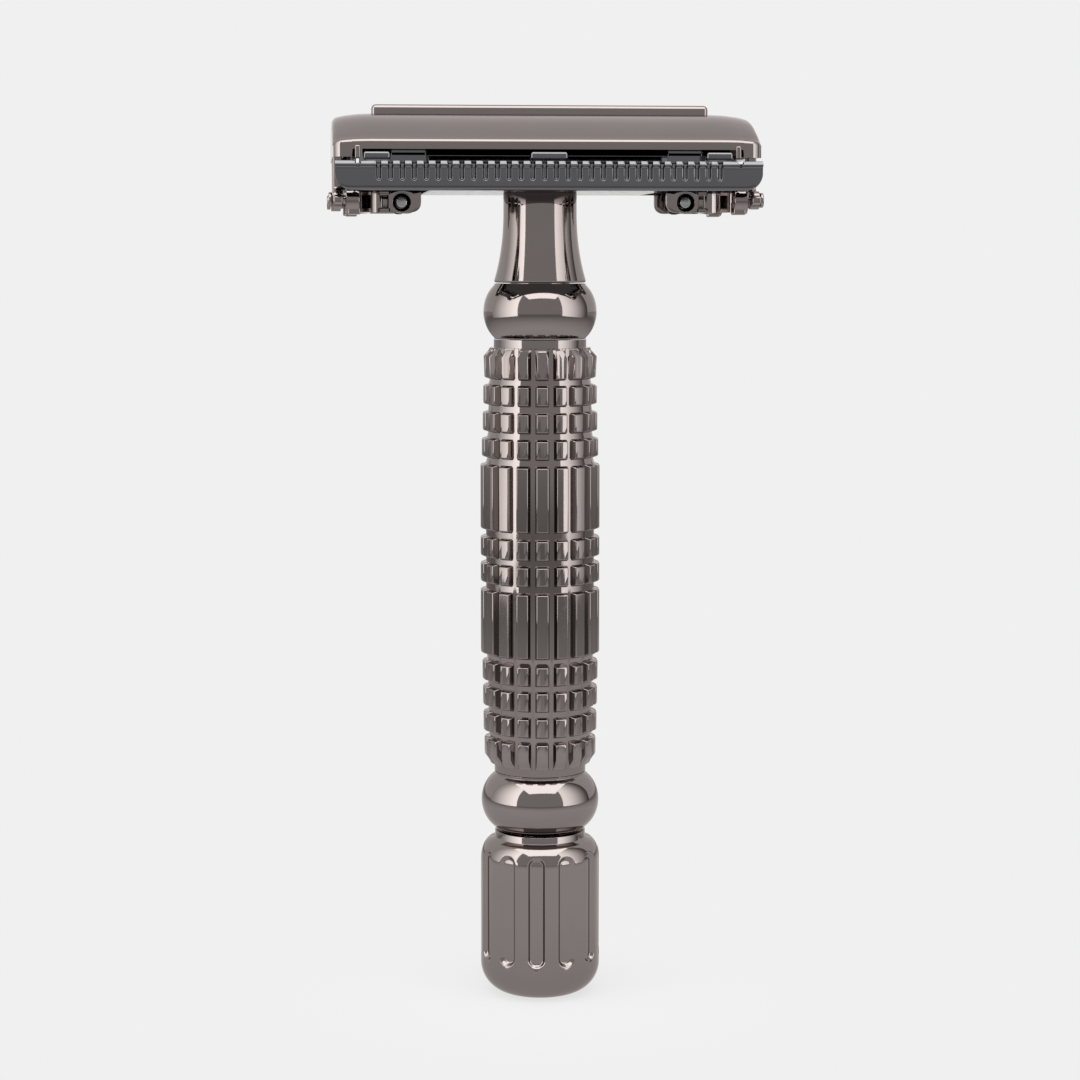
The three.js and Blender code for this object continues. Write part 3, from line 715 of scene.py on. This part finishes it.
def build_rail(sizes):
    low, high = box_mm("guard_plate")
    half = high.x
    bm = drawn_along_x(rail_section(), rail_stations(sizes))
    bm.normal_update()
    for vert in bm.verts:
        on_face = vert.co.y < -RAIL_FACE_Y + 0.36 and vert.co.z > low.z + 0.6
        if on_face and abs(vert.co.x) < half - RAIL_END_ROUND - 0.5:
            outwards = Vector((0, vert.normal.y, vert.normal.z)).normalized()
            vert.co -= outwards * slot_depth(vert.co.x, vert.co.z, sizes) * sizes.comb_depth / MM
        beyond = abs(vert.co.x) - (half - RAIL_END_ROUND)
        if beyond > 0:
            lift = RAIL_END_ROUND - math.sqrt(max(0.0, RAIL_END_ROUND ** 2 - beyond ** 2))
            vert.co.z = max(vert.co.z, low.z + min(lift, RAIL_END_ROUND * 0.9))
        notch = 1 - abs(abs(vert.co.x) - NOTCH_X) / NOTCH_HALF
        if notch > 0.02:
            vert.co.z = min(vert.co.z, high.z - NOTCH_DEEP * min(1.0, notch * 1.15))
    return bm


def build_guard():
    sizes = bpy.context.scene.razor_sizes
    bm = build_rail(sizes)
    add_to(bm, turned(build_rail(sizes), math.pi, "Z"))
    low, high = box_mm("guard_plate")
    floor = block((-12.3, -RAIL_INNER_Y - 0.2, low.z), (12.3, RAIL_INNER_Y + 0.2, low.z + 0.6), 0.12)
    add_to(bm, floor)
    stop_tab = (21.2, 21.9), (9.65, 11.4), (88.45, 89.1)
    behind = (RAIL_INNER_Y - 0.35, RAIL_INNER_Y + 0.05)
    # a dark plate behind each notch of the rail, put there only so the notch reads dark: it stands in for the
    # shade behind the rail
    notch_shade_plate = (NOTCH_X - 0.5, NOTCH_X + 0.5), behind, (88.3, high.z - 0.24)
    for end in ENDS.values():
        for side in SIDES.values():
            for x, y, z in (stop_tab, notch_shade_plate):
                add_to(bm, block_beside(end, side, x, y, z, 0.08, 2))
    finished("guard", bm, "handle", "dark_chrome", "guard_plate", flat_over=50)


BED_EDGE_Y = 9.8
DRAIN_X = (12.5, 16.4)
DRAIN_Y = 8.3
LUG_SPANS = ((-19.2, -16.4), (-1.95, 1.95), (16.4, 19.2))


def build_bed():
    low, high = box_mm("blade_bed")
    radius, thick = 17.4, 0.8
    centre = (0.0, high.z - radius)
    edge = math.degrees(math.asin(BED_EDGE_Y / radius))
    section = arc(centre, radius, -edge, edge, 24) + arc(centre, radius - thick, edge, -edge, 24)
    half = high.x
    inner = [DRAIN_X[0], DRAIN_X[0] + 0.15, DRAIN_X[1] - 0.15, DRAIN_X[1]]
    stations = sorted([-half, half, -6.0, 0.0, 6.0] + inner + [-x for x in inner])
    bm = drawn_along_x(section, stations)
    for vert in bm.verts:
        if DRAIN_X[0] + 0.1 < abs(vert.co.x) < DRAIN_X[1] - 0.1 and abs(vert.co.y) > DRAIN_Y:
            outer = (vert.co.yz - Vector(centre)).length
            vert.co.y = math.copysign(DRAIN_Y, vert.co.y)
            vert.co.z = centre[1] + math.sqrt(outer ** 2 - DRAIN_Y ** 2)
    bmesh.ops.remove_doubles(bm, verts=bm.verts, dist=WELD)
    bm.normal_update()
    rounded(bm, 0.1, 3, least=50)
    skirt = (DRAIN_X[0] - 0.1, DRAIN_X[1] + 0.1), (DRAIN_Y - 0.4, DRAIN_Y), (low.z, 91.7)
    for side in SIDES.values():
        for lug in LUG_SPANS:
            add_to(bm, block_beside(1, side, lug, (9.3, 10.9), (90.75, 91.66), 0.3, 5))
        for end in ENDS.values():
            add_to(bm, block_beside(end, side, *skirt, 0.08, 2))
    finished("bed", bm, "handle", "dark_chrome", "blade_bed")


def build_posts():
    seat = box_mm("neck_tube")[1].z - 0.06
    shank, foot = 0.8, 1.3
    for side in SIDES:
        for end in ENDS:
            node = f"bed_post_{side}_{end}"
            low, high = box_mm(node)
            middle = middle_mm(node)
            post = spun([
                (0, low.z), (shank, low.z), (shank, seat), (foot, seat),
                (foot, high.z), (0, high.z)], PIN_STEPS)
            moved(post, middle.x, middle.y)
            finished(f"post_{side}_{end}", rounded(post, 0.08), "handle", "pin_steel", node)


def build_centre_bar():
    low, high = box_mm("centre_bar")
    bar = block(low, high, 0.48, 6)
    finished("bar", bar, "handle", "gunmetal_plate", "centre_bar")
    for end in ENDS:
        node = f"bar_rivet_{end}"
        low, high = box_mm(node)
        rivet = spun([
            (0, low.z), (0.9, low.z), (1.25, low.z + 0.2), (1.25, low.z + 0.39), (0.5, low.z + 0.39),
            (0.5, high.z), (0, high.z)], PIN_STEPS)
        moved(rivet, middle_mm(node).x)
        finished(f"rivet_{end}", rounded(rivet, 0.05, 2), "handle", "pin_steel", node)


# ---------------------------------------------------------------- doors

DOOR_WALL = 0.85
DOOR_END_WALL = 1.05
DOOR_CREST_Z, DOOR_RADIUS = 96.0, 18.4
DOOR_LIP_Y, DOOR_CORNER = 10.65, 0.5
DOOR_PLAN_ROUND = 1.3          # rounding of a door's corners seen from above
DOOR_LIP_Z, DOOR_EAR_Z, DOOR_EAR_X = 91.91, 91.1, 20.3
DOOR_GAP_Y, DOOR_MEETING_Y = 1.1, 0.2
BAR_CLEAR_X = 18.3
# how the crest falls away towards a door's end: distance from the end, drop
DOOR_END_FALL = (
    (4.0, 0.0), (3.4, 0.02), (2.8, 0.05), (2.3, 0.1), (1.8, 0.16), (1.4, 0.21), (1.1, 0.27), (0.8, 0.33),
    (0.55, 0.4), (0.35, 0.48), (0.2, 0.6), (0.08, 0.76), (0.0, 1.0))
ROOF_ROWS, CORNER_ROWS, LIP_ROWS, END_ROWS = 16, 6, 3, 5
ROW_STEP = 0.0025              # keeps the rows of a skin apart where they run together


def door_columns():
    """(distance from the middle, share of the way down the end wall) for each column of a door's skin."""
    half = box_mm("door_front")[1].x
    right = [(x, 0.0) for x in (5.0, 10.0, 15.0, BAR_CLEAR_X - 0.02, BAR_CLEAR_X + 0.06)]
    right += [(half - back, 0.0) for back, _ in DOOR_END_FALL[1:]]
    right += [(DOOR_EAR_X - 0.04, 0.0), (DOOR_EAR_X + 0.04, 0.0)]
    right = sorted(right) + [(half, (i + 1) / END_ROWS) for i in range(END_ROWS)]
    return [(-x, down) for x, down in reversed(right)] + [(0.0, 0.0)] + right


def door_rows(inset):
    """Outline of the front door end-on, from its inner edge to the top of its lip."""
    centre, radius = DOOR_CREST_Z - DOOR_RADIUS, DOOR_RADIUS - inset
    lip, corner = DOOR_LIP_Y - inset * 0.9, max(DOOR_CORNER - inset, 0.08)
    shoulder = lip - corner
    points = []
    for i in range(ROOF_ROWS):
        y = DOOR_GAP_Y + (shoulder * 0.985 - DOOR_GAP_Y) * i / (ROOF_ROWS - 1)
        points.append((-y, centre + math.sqrt(radius ** 2 - y * y)))
    top = centre + math.sqrt(radius ** 2 - shoulder ** 2)
    for i in range(CORNER_ROWS):
        bend = math.radians(35 + 55 * i / (CORNER_ROWS - 1))
        points.append((-shoulder - corner * math.sin(bend) + corner * 0.02,
                       top - corner * 0.82 + corner * math.cos(bend)))
    return points


def door_point(column, row, columns, rows, inset):
    """Where a vertex of a door's outer or inner skin lies."""
    along, down = columns[column]
    half = box_mm("door_front")[1].x
    reach = half - (DOOR_END_WALL if inset else 0.0)
    x = math.copysign(min(abs(along), reach if down else reach - (half - abs(along)) * 0.6), along)
    back = half - abs(along)
    bottom = DOOR_EAR_Z if abs(along) > DOOR_EAR_X else DOOR_LIP_Z
    if row < len(rows):
        y, z = rows[row]
    else:
        y, z = rows[-1]
        z += (bottom - z) * (row - len(rows) + 1) / LIP_ROWS
    if row == 0 and abs(along) > BAR_CLEAR_X:
        y = -DOOR_MEETING_Y
    if back < DOOR_PLAN_ROUND:
        pulled = DOOR_PLAN_ROUND - math.sqrt(DOOR_PLAN_ROUND ** 2 - (DOOR_PLAN_ROUND - back) ** 2)
        y *= 1 - min(pulled, 0.9) / DOOR_LIP_Y * min(1.0, abs(y) / DOOR_LIP_Y) ** 3
    if row < len(rows):
        z -= door_drop(along) * min(1.0, (z - bottom) / (DOOR_CREST_Z - bottom) * 1.4)
    return Vector((x, y, z + (bottom - z) * down * 0.99 + ROW_STEP * down))


def door_drop(x):
    """How far the crest has fallen at a place along the door."""
    back = box_mm("door_front")[1].x - abs(x)
    for (far, small), (near, large) in zip(DOOR_END_FALL, DOOR_END_FALL[1:]):
        if far >= back >= near - WELD:
            return small + (large - small) * (far - back) / (far - near)
    return 0.0


def door_skin(inset):
    """Outer or inner skin of the front door, laid out from a flat grid."""
    columns, rows = door_columns(), door_rows(inset)
    across, down = len(columns) - 1, len(rows) + LIP_ROWS - 1
    bm = bmesh.new()
    bmesh.ops.create_grid(bm, x_segments=across, y_segments=down, size=1.0)
    for vert in bm.verts:
        column = round((vert.co.x + 1) / 2 * across)
        row = round((vert.co.y + 1) / 2 * down)
        vert.co = door_point(column, row, columns, rows, inset)
    return bm


def door_shell():
    bm = door_skin(0.0)
    add_to(bm, door_skin(DOOR_WALL))
    bmesh.ops.bridge_loops(bm, edges=[e for e in bm.edges if e.is_boundary])
    bmesh.ops.recalc_face_normals(bm, faces=bm.faces)
    return bm


def door_leg():
    """The gooseneck at the right end of the front door, with its knuckle and toe."""
    _, y, z = middle_mm("hinge_pin_front_right")
    outline = [
        (y - 2.1, z - 0.35), (y, z - 0.8), (y + 2.3, z - 0.5), (y + 3.0, z + 0.4),
        (y + 3.1, DOOR_EAR_Z + 0.9), (y + 1.1, DOOR_EAR_Z + 0.9), (y + 1.3, z + 1.3),
        (y + 0.6, z + 0.75), (y - 0.6, z + 0.55), (y - 2.1, z + 0.3)]
    bm = rounded(extruded(outline, "X", 21.3, 22.22), 0.12, 3)
    return add_to(bm, rounded(rod_along("X", 0.95, 21.25, 22.3, (y, z)), 0.1))


def door_fin():
    outline = [(-10.7, 90.88), (-11.0, 90.95), (-10.8, 92.3), (-9.95, 92.2), (-9.95, 91.6)]
    return rounded(extruded(outline, "X", NOTCH_X - 0.27, NOTCH_X + 0.27), 0.14, 4)


def door():
    bm = door_shell()
    for build in (door_leg, door_fin):
        add_to(bm, build())
        add_to(bm, mirrored(build()))
    return bm


def build_doors():
    finished("shell_door_front", door(), "door_front", "gunmetal_plate", "door_front")
    finished("shell_door_rear", turned(door(), math.pi, "Z"), "door_rear", "gunmetal_plate", "door_rear")


# ---------------------------------------------------------------- lifting gear

EAR_Y, EAR_WALL = 4.8, 0.8
EAR_X = (13.0, 16.45)
EAR_Z = (85.5, 88.0)
EAR_CORNER = 1.0
HOLE_RADIUS = 0.95
HOLE_STEPS = 40
REACH_STEP = 0.01              # how finely the ear's outline is felt for


def in_ear(point):
    """Whether an (x, z) point lies inside the ear's outline, which is rounded at its low inner corner."""
    from_corner = Vector((EAR_X[0] + EAR_CORNER - point.x, EAR_Z[0] + EAR_CORNER - point.y))
    if min(from_corner) > 0 and from_corner.length > EAR_CORNER:
        return False
    return EAR_X[0] <= point.x <= EAR_X[1] and EAR_Z[0] <= point.y <= EAR_Z[1]


def ear_reach(middle, direction):
    """How far the ear's outline lies from its hole's middle in a direction."""
    reach = 0.0
    while in_ear(middle + direction * (reach + REACH_STEP)):
        reach += REACH_STEP
    return reach


def ear_plate(side):
    """A flat ear with its pin hole, in the X-Z plane, at the front or rear of a bracket."""
    middle = middle_mm("bracket_pin_right").xz
    bm = bmesh.new()
    edges = []
    for outer in (False, True):
        ring = []
        for heading in headings(HOLE_STEPS):
            reach = ear_reach(middle, Vector(heading).normalized()) if outer else HOLE_RADIUS
            ring.append((middle.x + reach * heading[0], 0, middle.y + reach * heading[1]))
        edges += chain(bm, ring, closed=True)[1]
    bmesh.ops.bridge_loops(bm, edges=edges)
    thick = bmesh.ops.extrude_face_region(bm, geom=list(bm.faces))
    bmesh.ops.translate(bm, verts=verts_of(thick), vec=(0, EAR_WALL, 0))
    moved(bm, y=side * EAR_Y - EAR_WALL / 2)
    bmesh.ops.recalc_face_normals(bm, faces=bm.faces)
    return rounded(bm, 0.12, 3, least=60)


def swept_wall(side):
    """The bracket's side from the ear out to the hinge knuckle, as one bent strip."""
    path = [(17.15, EAR_Y), (17.9, 5.0), (18.6, 5.75), (19.1, 6.7), (19.6, 7.55), (20.9, 7.65)]
    bm = bmesh.new()
    _, edges = chain(bm, [(x, side * y, EAR_Z[0]) for x, y in path])
    up = bmesh.ops.extrude_edge_only(bm, edges=edges)
    bmesh.ops.translate(bm, verts=verts_of(up), vec=(0, 0, EAR_Z[1] - EAR_Z[0]))
    bmesh.ops.recalc_face_normals(bm, faces=bm.faces)
    level = [e for e in bm.edges if abs(e.verts[0].co.z - e.verts[1].co.z) < 0.01]
    bmesh.ops.subdivide_edges(bm, edges=level, cuts=2, smooth=0.6)
    bmesh.ops.solidify(bm, geom=list(bm.faces), thickness=EAR_WALL)
    bm.normal_update()
    return rounded(bm, 0.1, 2, least=60)


def pin_sleeve(side):
    """The dished sleeve round the bracket pin, just inside an ear."""
    pin_low, pin_high = box_mm("bracket_pin_right")
    seat = EAR_Y - EAR_WALL / 2
    bore, outer = (pin_high.x - pin_low.x) / 2 + 0.04, 1.15
    bm = spun([
        (bore, seat - 1.1), (outer, seat - 1.1), (outer, seat), (outer - 0.13, seat),
        (bore, seat - 0.6)], HOLE_STEPS, closed=True)
    middle = middle_mm("bracket_pin_right")
    return moved(turned(bm, -side * math.pi / 2, "X"), middle.x, 0, middle.z)


def bracket():
    """The right end bracket: two ears, two swept sides, four knuckles and the web between."""
    pin = middle_mm("hinge_pin_front_right")
    wall = (EAR_Y - EAR_WALL / 2, EAR_Y + EAR_WALL / 2)
    bm = bmesh.new()
    for side in SIDES.values():
        for part in (ear_plate, swept_wall, pin_sleeve):
            add_to(bm, part(side))
        for strip_z in ((87.3, 88.0), (85.5, 86.0)):
            add_to(bm, block_beside(RIGHT, side, (16.2, 17.4), wall, strip_z, 0.08, 2))
        add_to(bm, rounded(rod_along("X", 1.45, 19.55, 21.0, (side * -pin.y, pin.z), 40), 0.12))
        add_to(bm, block_beside(RIGHT, side, (19.5, 20.75), (7.4, 9.55), (85.22, 86.6), 0.14))
    web = [(16.9, -4.5), (18.2, -5.0), (19.6, -7.6), (20.9, -7.6)]
    web += [(x, -y) for x, y in reversed(web)]
    add_to(bm, rounded(extruded(web, "Z", EAR_Z[1] - 0.7, EAR_Z[1]), 0.1))
    # a plate across the window between the strips, put there so the window reads dark: it stands in for the
    # shade inside the head
    add_to(bm, block((16.4, -EAR_Y + 0.3, EAR_Z[0] + 0.4), (17.1, EAR_Y - 0.3, EAR_Z[1] - 0.6), 0.1))
    return bm


def build_brackets():
    finished("bracket_right", bracket(), "carriage", "gunmetal_plate", "end_bracket_right")
    finished("bracket_left", mirrored(bracket()), "carriage", "gunmetal_plate", "end_bracket_left")


def build_pins():
    for word in ("right", "left"):
        node = f"bracket_pin_{word}"
        low, high = box_mm(node)
        pin = rod_along("Y", (high.x - low.x) / 2, low.y, high.y, middle_mm(node).xz)
        finished(f"pin_{word}", rounded(pin, 0.14, 3), "carriage", "pin_steel", node)
    shank_radius, head_radius, head_width = 0.45, 0.77, 0.39
    for side in SIDES:
        for end_word, end in ENDS.items():
            node = f"hinge_pin_{side}_{end_word}"
            low, high = box_mm(node)
            inner, outer = sorted((abs(low.x), abs(high.x)))
            centre = middle_mm(node).yz
            shank = between(end, inner, outer - 0.2)
            head = between(end, outer - head_width, outer)
            pin = rounded(rod_along("X", shank_radius, *shank, centre), 0.08, 2)
            add_to(pin, rounded(rod_along("X", head_radius, *head, centre), 0.12, 3))
            finished(f"door_pin_{side}_{end_word}", pin, "carriage", "gunmetal_plate", node)


def build_crossbar():
    low, high = box_mm("crossbar")
    strip_z, corner, half = high.z - 0.7, 0.4, high.x
    leg = half - 1.9
    outline = [
        (-half, low.z), (-leg, low.z), (-leg, strip_z), (leg, strip_z), (leg, low.z), (half, low.z),
        (half, high.z - corner), (half - corner, high.z), (-half + corner, high.z), (-half, high.z - corner)]
    bar = rounded(extruded(outline, "Y", low.y, high.y), 0.12)
    finished("lift_crossbar", bar, "carriage", "pin_steel", "crossbar")
    low, high = box_mm("crossbar_screw")
    seat = box_mm("crossbar")[1].z + 0.06
    radius = high.x
    screw = rounded(spun([
        (0, low.z), (0.8, low.z), (0.8, seat), (radius, seat), (radius, seat + 0.45),
        (radius * 0.8, high.z), (0, high.z)], PIN_STEPS), 0.08, 2, least=25)
    finished("bar_screw", screw, "carriage", "pin_steel", "crossbar_screw")


# ---------------------------------------------------------------- studio

# in metres, as the lights, the floor and the camera are placed in the scene's own units
FLOOR_HALF = 3.0
LIGHT_DISTANCE, LIGHT_TOP = 0.42, 0.6
LIGHT_EDGES = tuple(math.radians(turn) for turn in (46, 112))
TOP_LIGHT = ((-0.3, -0.5, 0.5), (0.3, -0.5, 0.5), (0.3, 0.05, 0.5), (-0.3, 0.05, 0.5))
LEFT_FADE, RIGHT_FADE = 0.8, 0.15      # what a side light's strength falls to at its rear edge
FRONT_DIM = 0.56                       # the room's brightness in front, in reflections
FLOOR_GREY = 0.62


def emission_material(name, strength, fade_to=None):
    """A soft light's face; its glow may fade across the face from one side to the other."""
    material, tree = new_material(name)
    tree.nodes.remove(tree.nodes["Principled BSDF"])
    glow = put(tree, "ShaderNodeEmission", Strength=strength)
    wire(glow, "Emission", tree.nodes["Material Output"], "Surface")
    if fade_to is not None:
        place = put(tree, "ShaderNodeUVMap")
        parts = put(tree, "ShaderNodeSeparateXYZ")
        fade = put(tree, "ShaderNodeMapRange", interpolation_type="SMOOTHSTEP",
                   To_Min=strength, To_Max=fade_to)
        wire(place, "UV", parts, "Vector")
        wire(parts, "X", fade, "Value")
        wire(fade, "Result", glow, "Strength")
    return material


def light_panel(name, corners, strength, fade_to=None):
    """A flat light between four corners; the first and last lie on its bright side."""
    bm = bmesh.new()
    face = bm.faces.new([bm.verts.new(c) for c in corners])
    layer = bm.loops.layers.uv.new("UVMap")
    for loop, uv in zip(face.loops, ((0, 0), (1, 0), (1, 1), (0, 1))):
        loop[layer].uv = uv
    panel = object_of(name, bm, emission_material(name, strength, fade_to))
    panel.visible_camera = False
    return panel


def around(turn, distance, height):
    """A point seen from the handle at an angle from straight ahead of the camera."""
    studio = bpy.context.scene.razor_studio
    heading = -math.pi / 2 + studio.camera_turn + turn
    return (distance * math.cos(heading), distance * math.sin(heading), height)


def build_lights():
    studio = bpy.context.scene.razor_studio
    for name, side, strength, fade_to in (
            ("left_light", LEFT, studio.left_box, LEFT_FADE),
            ("right_light", RIGHT, studio.right_box, RIGHT_FADE)):
        near, far = (side * turn for turn in LIGHT_EDGES)
        corners = ((near, 0.0), (far, 0.0), (far, LIGHT_TOP), (near, LIGHT_TOP))
        places = [around(turn, LIGHT_DISTANCE, height) for turn, height in corners]
        light_panel(name, places, strength, fade_to)
    light_panel("top_light", TOP_LIGHT, studio.top_box)


def build_world():
    """Plain backdrop to the camera; in reflections, darker towards the front."""
    studio = bpy.context.scene.razor_studio
    world = bpy.data.worlds.new("Studio")
    bpy.context.scene.world = world
    world.use_nodes = True
    tree = world.node_tree
    direction = put(tree, "ShaderNodeTexCoord")
    towards = put(tree, "ShaderNodeVectorMath", operation="DOT_PRODUCT")
    towards.inputs[1].default_value = around(0.0, 1.0, 0.0)
    wire(direction, "Generated", towards, 0)
    dim = put(tree, "ShaderNodeMapRange", interpolation_type="SMOOTHSTEP",
              From_Min=-0.2, From_Max=0.45, To_Min=studio.backdrop, To_Max=FRONT_DIM)
    wire(towards, "Value", dim, "Value")
    room = tree.nodes["Background"]
    wire(dim, "Result", room, "Strength")
    room.inputs["Color"].default_value = (1, 1, 1, 1)
    plain = put(tree, "ShaderNodeBackground", Color=(1, 1, 1, 1), Strength=studio.backdrop)
    ray = put(tree, "ShaderNodeLightPath")
    choose = put(tree, "ShaderNodeMixShader")
    wire(ray, "Is Camera Ray", choose, 0)
    wire(room, "Background", choose, 1)
    wire(plain, "Background", choose, 2)
    wire(choose, "Shader", tree.nodes["World Output"], "Surface")


# the floor's painted light in reflections, a glow with no lamp behind it: distance from the razor in metres,
# brightness
PAINTED_FLOOR_LIGHT = (
    (0.0, 0.72), (0.04, 0.84), (0.075, 0.87), (0.19, 0.58),
    (0.3, 0.38), (0.43, 0.31), (0.67, 0.42), (0.86, 0.56))


def painted_floor_light(tree, reach):
    """The floor as the metal mirrors it, a painted pool of light: pale round the razor and dimmer further
    out.
    """
    furthest = PAINTED_FLOOR_LIGHT[-1][0]
    share = put(tree, "ShaderNodeMath", operation="DIVIDE")
    share.inputs[1].default_value = furthest
    wire(reach, "Value", share, 0)
    ramp = put(tree, "ShaderNodeValToRGB")
    stops = ramp.color_ramp.elements
    while len(stops) < len(PAINTED_FLOOR_LIGHT):
        stops.new(0.5)
    for stop, (distance, tone) in zip(stops, PAINTED_FLOOR_LIGHT):
        stop.position = distance / furthest
        stop.color = (tone, tone, tone, 1.0)
    wire(share, "Value", ramp, "Fac")
    # the floor glows with this painted light, though it is no lamp
    glow = put(tree, "ShaderNodeEmission", Strength=1.0)
    wire(ramp, "Color", glow, "Color")
    return glow


def build_floor():
    """A plain pale floor that the camera sees in the backdrop's tone."""
    studio = bpy.context.scene.razor_studio
    bm = bmesh.new()
    bmesh.ops.create_grid(bm, x_segments=1, y_segments=1, size=FLOOR_HALF)
    material, tree = new_material("pale_floor")
    object_of("floor", bm, material)
    paint = tree.nodes["Principled BSDF"]
    paint.inputs["Base Color"].default_value = (FLOOR_GREY, FLOOR_GREY, FLOOR_GREY, 1)
    paint.inputs["Roughness"].default_value = 0.9
    plain = put(tree, "ShaderNodeEmission", Strength=studio.backdrop)
    ray = put(tree, "ShaderNodeLightPath")
    place = put(tree, "ShaderNodeTexCoord")
    reach = put(tree, "ShaderNodeVectorMath", operation="LENGTH")
    far = put(tree, "ShaderNodeMapRange", interpolation_type="SMOOTHSTEP",
              From_Min=0.004, From_Max=0.03, To_Min=0.82, To_Max=1.0)
    wire(place, "Object", reach, 0)
    wire(reach, "Value", far, "Value")
    seen = put(tree, "ShaderNodeMixShader")
    wire(far, "Result", seen, 0)
    wire(paint, "BSDF", seen, 1)
    wire(plain, "Emission", seen, 2)
    choose = put(tree, "ShaderNodeMixShader")
    wire(ray, "Is Camera Ray", choose, 0)
    # rays other than the camera's see the floor's painted pool of light
    wire(painted_floor_light(tree, reach), "Emission", choose, 1)
    wire(seen, "Shader", choose, 2)
    side = put(tree, "ShaderNodeNewGeometry")
    one_sided = put(tree, "ShaderNodeMixShader")
    wire(side, "Backfacing", one_sided, 0)
    wire(choose, "Shader", one_sided, 1)
    wire(put(tree, "ShaderNodeBsdfTransparent"), "BSDF", one_sided, 2)
    wire(one_sided, "Shader", tree.nodes["Material Output"], "Surface")


def build_camera():
    studio = bpy.context.scene.razor_studio
    data = bpy.data.cameras.new("camera")
    data.sensor_width = 36.0
    data.lens = studio.camera_lens
    data.clip_start, data.clip_end = 0.01, 20.0
    camera = bpy.data.objects.new("camera", data)
    bpy.context.scene.collection.objects.link(camera)
    camera.location = around(0.0, studio.camera_distance, studio.camera_height)
    camera.rotation_euler = (math.pi / 2 - studio.camera_tilt, 0, studio.camera_turn)
    bpy.context.scene.camera = camera


def build_stage():
    bpy.context.scene.view_settings.view_transform = "Standard"
    build_world()
    build_floor()
    build_lights()
    build_camera()


# ---------------------------------------------------------------- operators


class RAZOR_OT_stage(bpy.types.Operator):
    """Add the floor, the soft lights, the backdrop and the camera"""

    bl_idname = "razor.stage"
    bl_label = "Studio"

    def execute(self, context):
        build_stage()
        return {"FINISHED"}


class RAZOR_OT_metals(bpy.types.Operator):
    """Give the frame's own nodes their metals"""

    bl_idname = "razor.metals"
    bl_label = "Metals"

    def execute(self, context):
        clothe_frame()
        return {"FINISHED"}


class RAZOR_OT_grip(bpy.types.Operator):
    """Add the grip barrel with its rows of pads"""

    bl_idname = "razor.grip"
    bl_label = "Grip"

    def execute(self, context):
        build_grip()
        return {"FINISHED"}


class RAZOR_OT_beads(bpy.types.Operator):
    """Add the bead at each end of the grip"""

    bl_idname = "razor.beads"
    bl_label = "Beads"

    def execute(self, context):
        build_beads()
        return {"FINISHED"}


class RAZOR_OT_neck(bpy.types.Operator):
    """Add the flared neck and its swaged collar"""

    bl_idname = "razor.neck"
    bl_label = "Neck"

    def execute(self, context):
        build_neck()
        return {"FINISHED"}


class RAZOR_OT_knob(bpy.types.Operator):
    """Add the fluted turning knob"""

    bl_idname = "razor.knob"
    bl_label = "Knob"

    def execute(self, context):
        build_knob()
        return {"FINISHED"}


class RAZOR_OT_guard(bpy.types.Operator):
    """Add the guard plate with its combed rails"""

    bl_idname = "razor.guard"
    bl_label = "Guard"

    def execute(self, context):
        build_guard()
        return {"FINISHED"}


class RAZOR_OT_bed(bpy.types.Operator):
    """Add the blade bed and the posts under it"""

    bl_idname = "razor.bed"
    bl_label = "Blade bed"

    def execute(self, context):
        build_bed()
        build_posts()
        return {"FINISHED"}


class RAZOR_OT_centre_bar(bpy.types.Operator):
    """Add the bar between the doors and its rivets"""

    bl_idname = "razor.centre_bar"
    bl_label = "Centre bar"

    def execute(self, context):
        build_centre_bar()
        return {"FINISHED"}


class RAZOR_OT_doors(bpy.types.Operator):
    """Add the front and rear doors"""

    bl_idname = "razor.doors"
    bl_label = "Doors"

    def execute(self, context):
        build_doors()
        return {"FINISHED"}


class RAZOR_OT_lifting_gear(bpy.types.Operator):
    """Add the end brackets, their pins and the crossbar"""

    bl_idname = "razor.lifting_gear"
    bl_label = "Lifting gear"

    def execute(self, context):
        build_brackets()
        build_pins()
        build_crossbar()
        return {"FINISHED"}


STEPS = (
    RAZOR_OT_stage, RAZOR_OT_metals, RAZOR_OT_grip, RAZOR_OT_beads, RAZOR_OT_neck, RAZOR_OT_knob,
    RAZOR_OT_guard, RAZOR_OT_bed, RAZOR_OT_centre_bar, RAZOR_OT_doors, RAZOR_OT_lifting_gear,
)


class RAZOR_PT_panel(bpy.types.Panel):
    """Lists the razor's settings and the steps that build it"""

    bl_idname = "RAZOR_PT_panel"
    bl_label = "Safety Razor"
    bl_space_type = "VIEW_3D"
    bl_region_type = "UI"
    bl_category = "Razor"

    def draw(self, context):
        for group in (context.scene.razor_sizes, context.scene.razor_finish, context.scene.razor_studio):
            box = self.layout.box()
            for name in group.__annotations__:
                box.prop(group, name)
        for step in STEPS:
            self.layout.operator(step.bl_idname)


CLASSES = (RazorSizes, RazorFinish, RazorStudio, *STEPS, RAZOR_PT_panel)


def register():
    for cls in CLASSES:
        bpy.utils.register_class(cls)
    bpy.types.Scene.razor_sizes = PointerProperty(type=RazorSizes)
    bpy.types.Scene.razor_finish = PointerProperty(type=RazorFinish)
    bpy.types.Scene.razor_studio = PointerProperty(type=RazorStudio)


def unregister():
    del bpy.types.Scene.razor_studio
    del bpy.types.Scene.razor_finish
    del bpy.types.Scene.razor_sizes
    for cls in reversed(CLASSES):
        bpy.utils.unregister_class(cls)


def main():
    register()
    for step in STEPS:
        group, name = step.bl_idname.split(".")
        getattr(getattr(bpy.ops, group), name)()


if __name__ == "__main__":
    main()
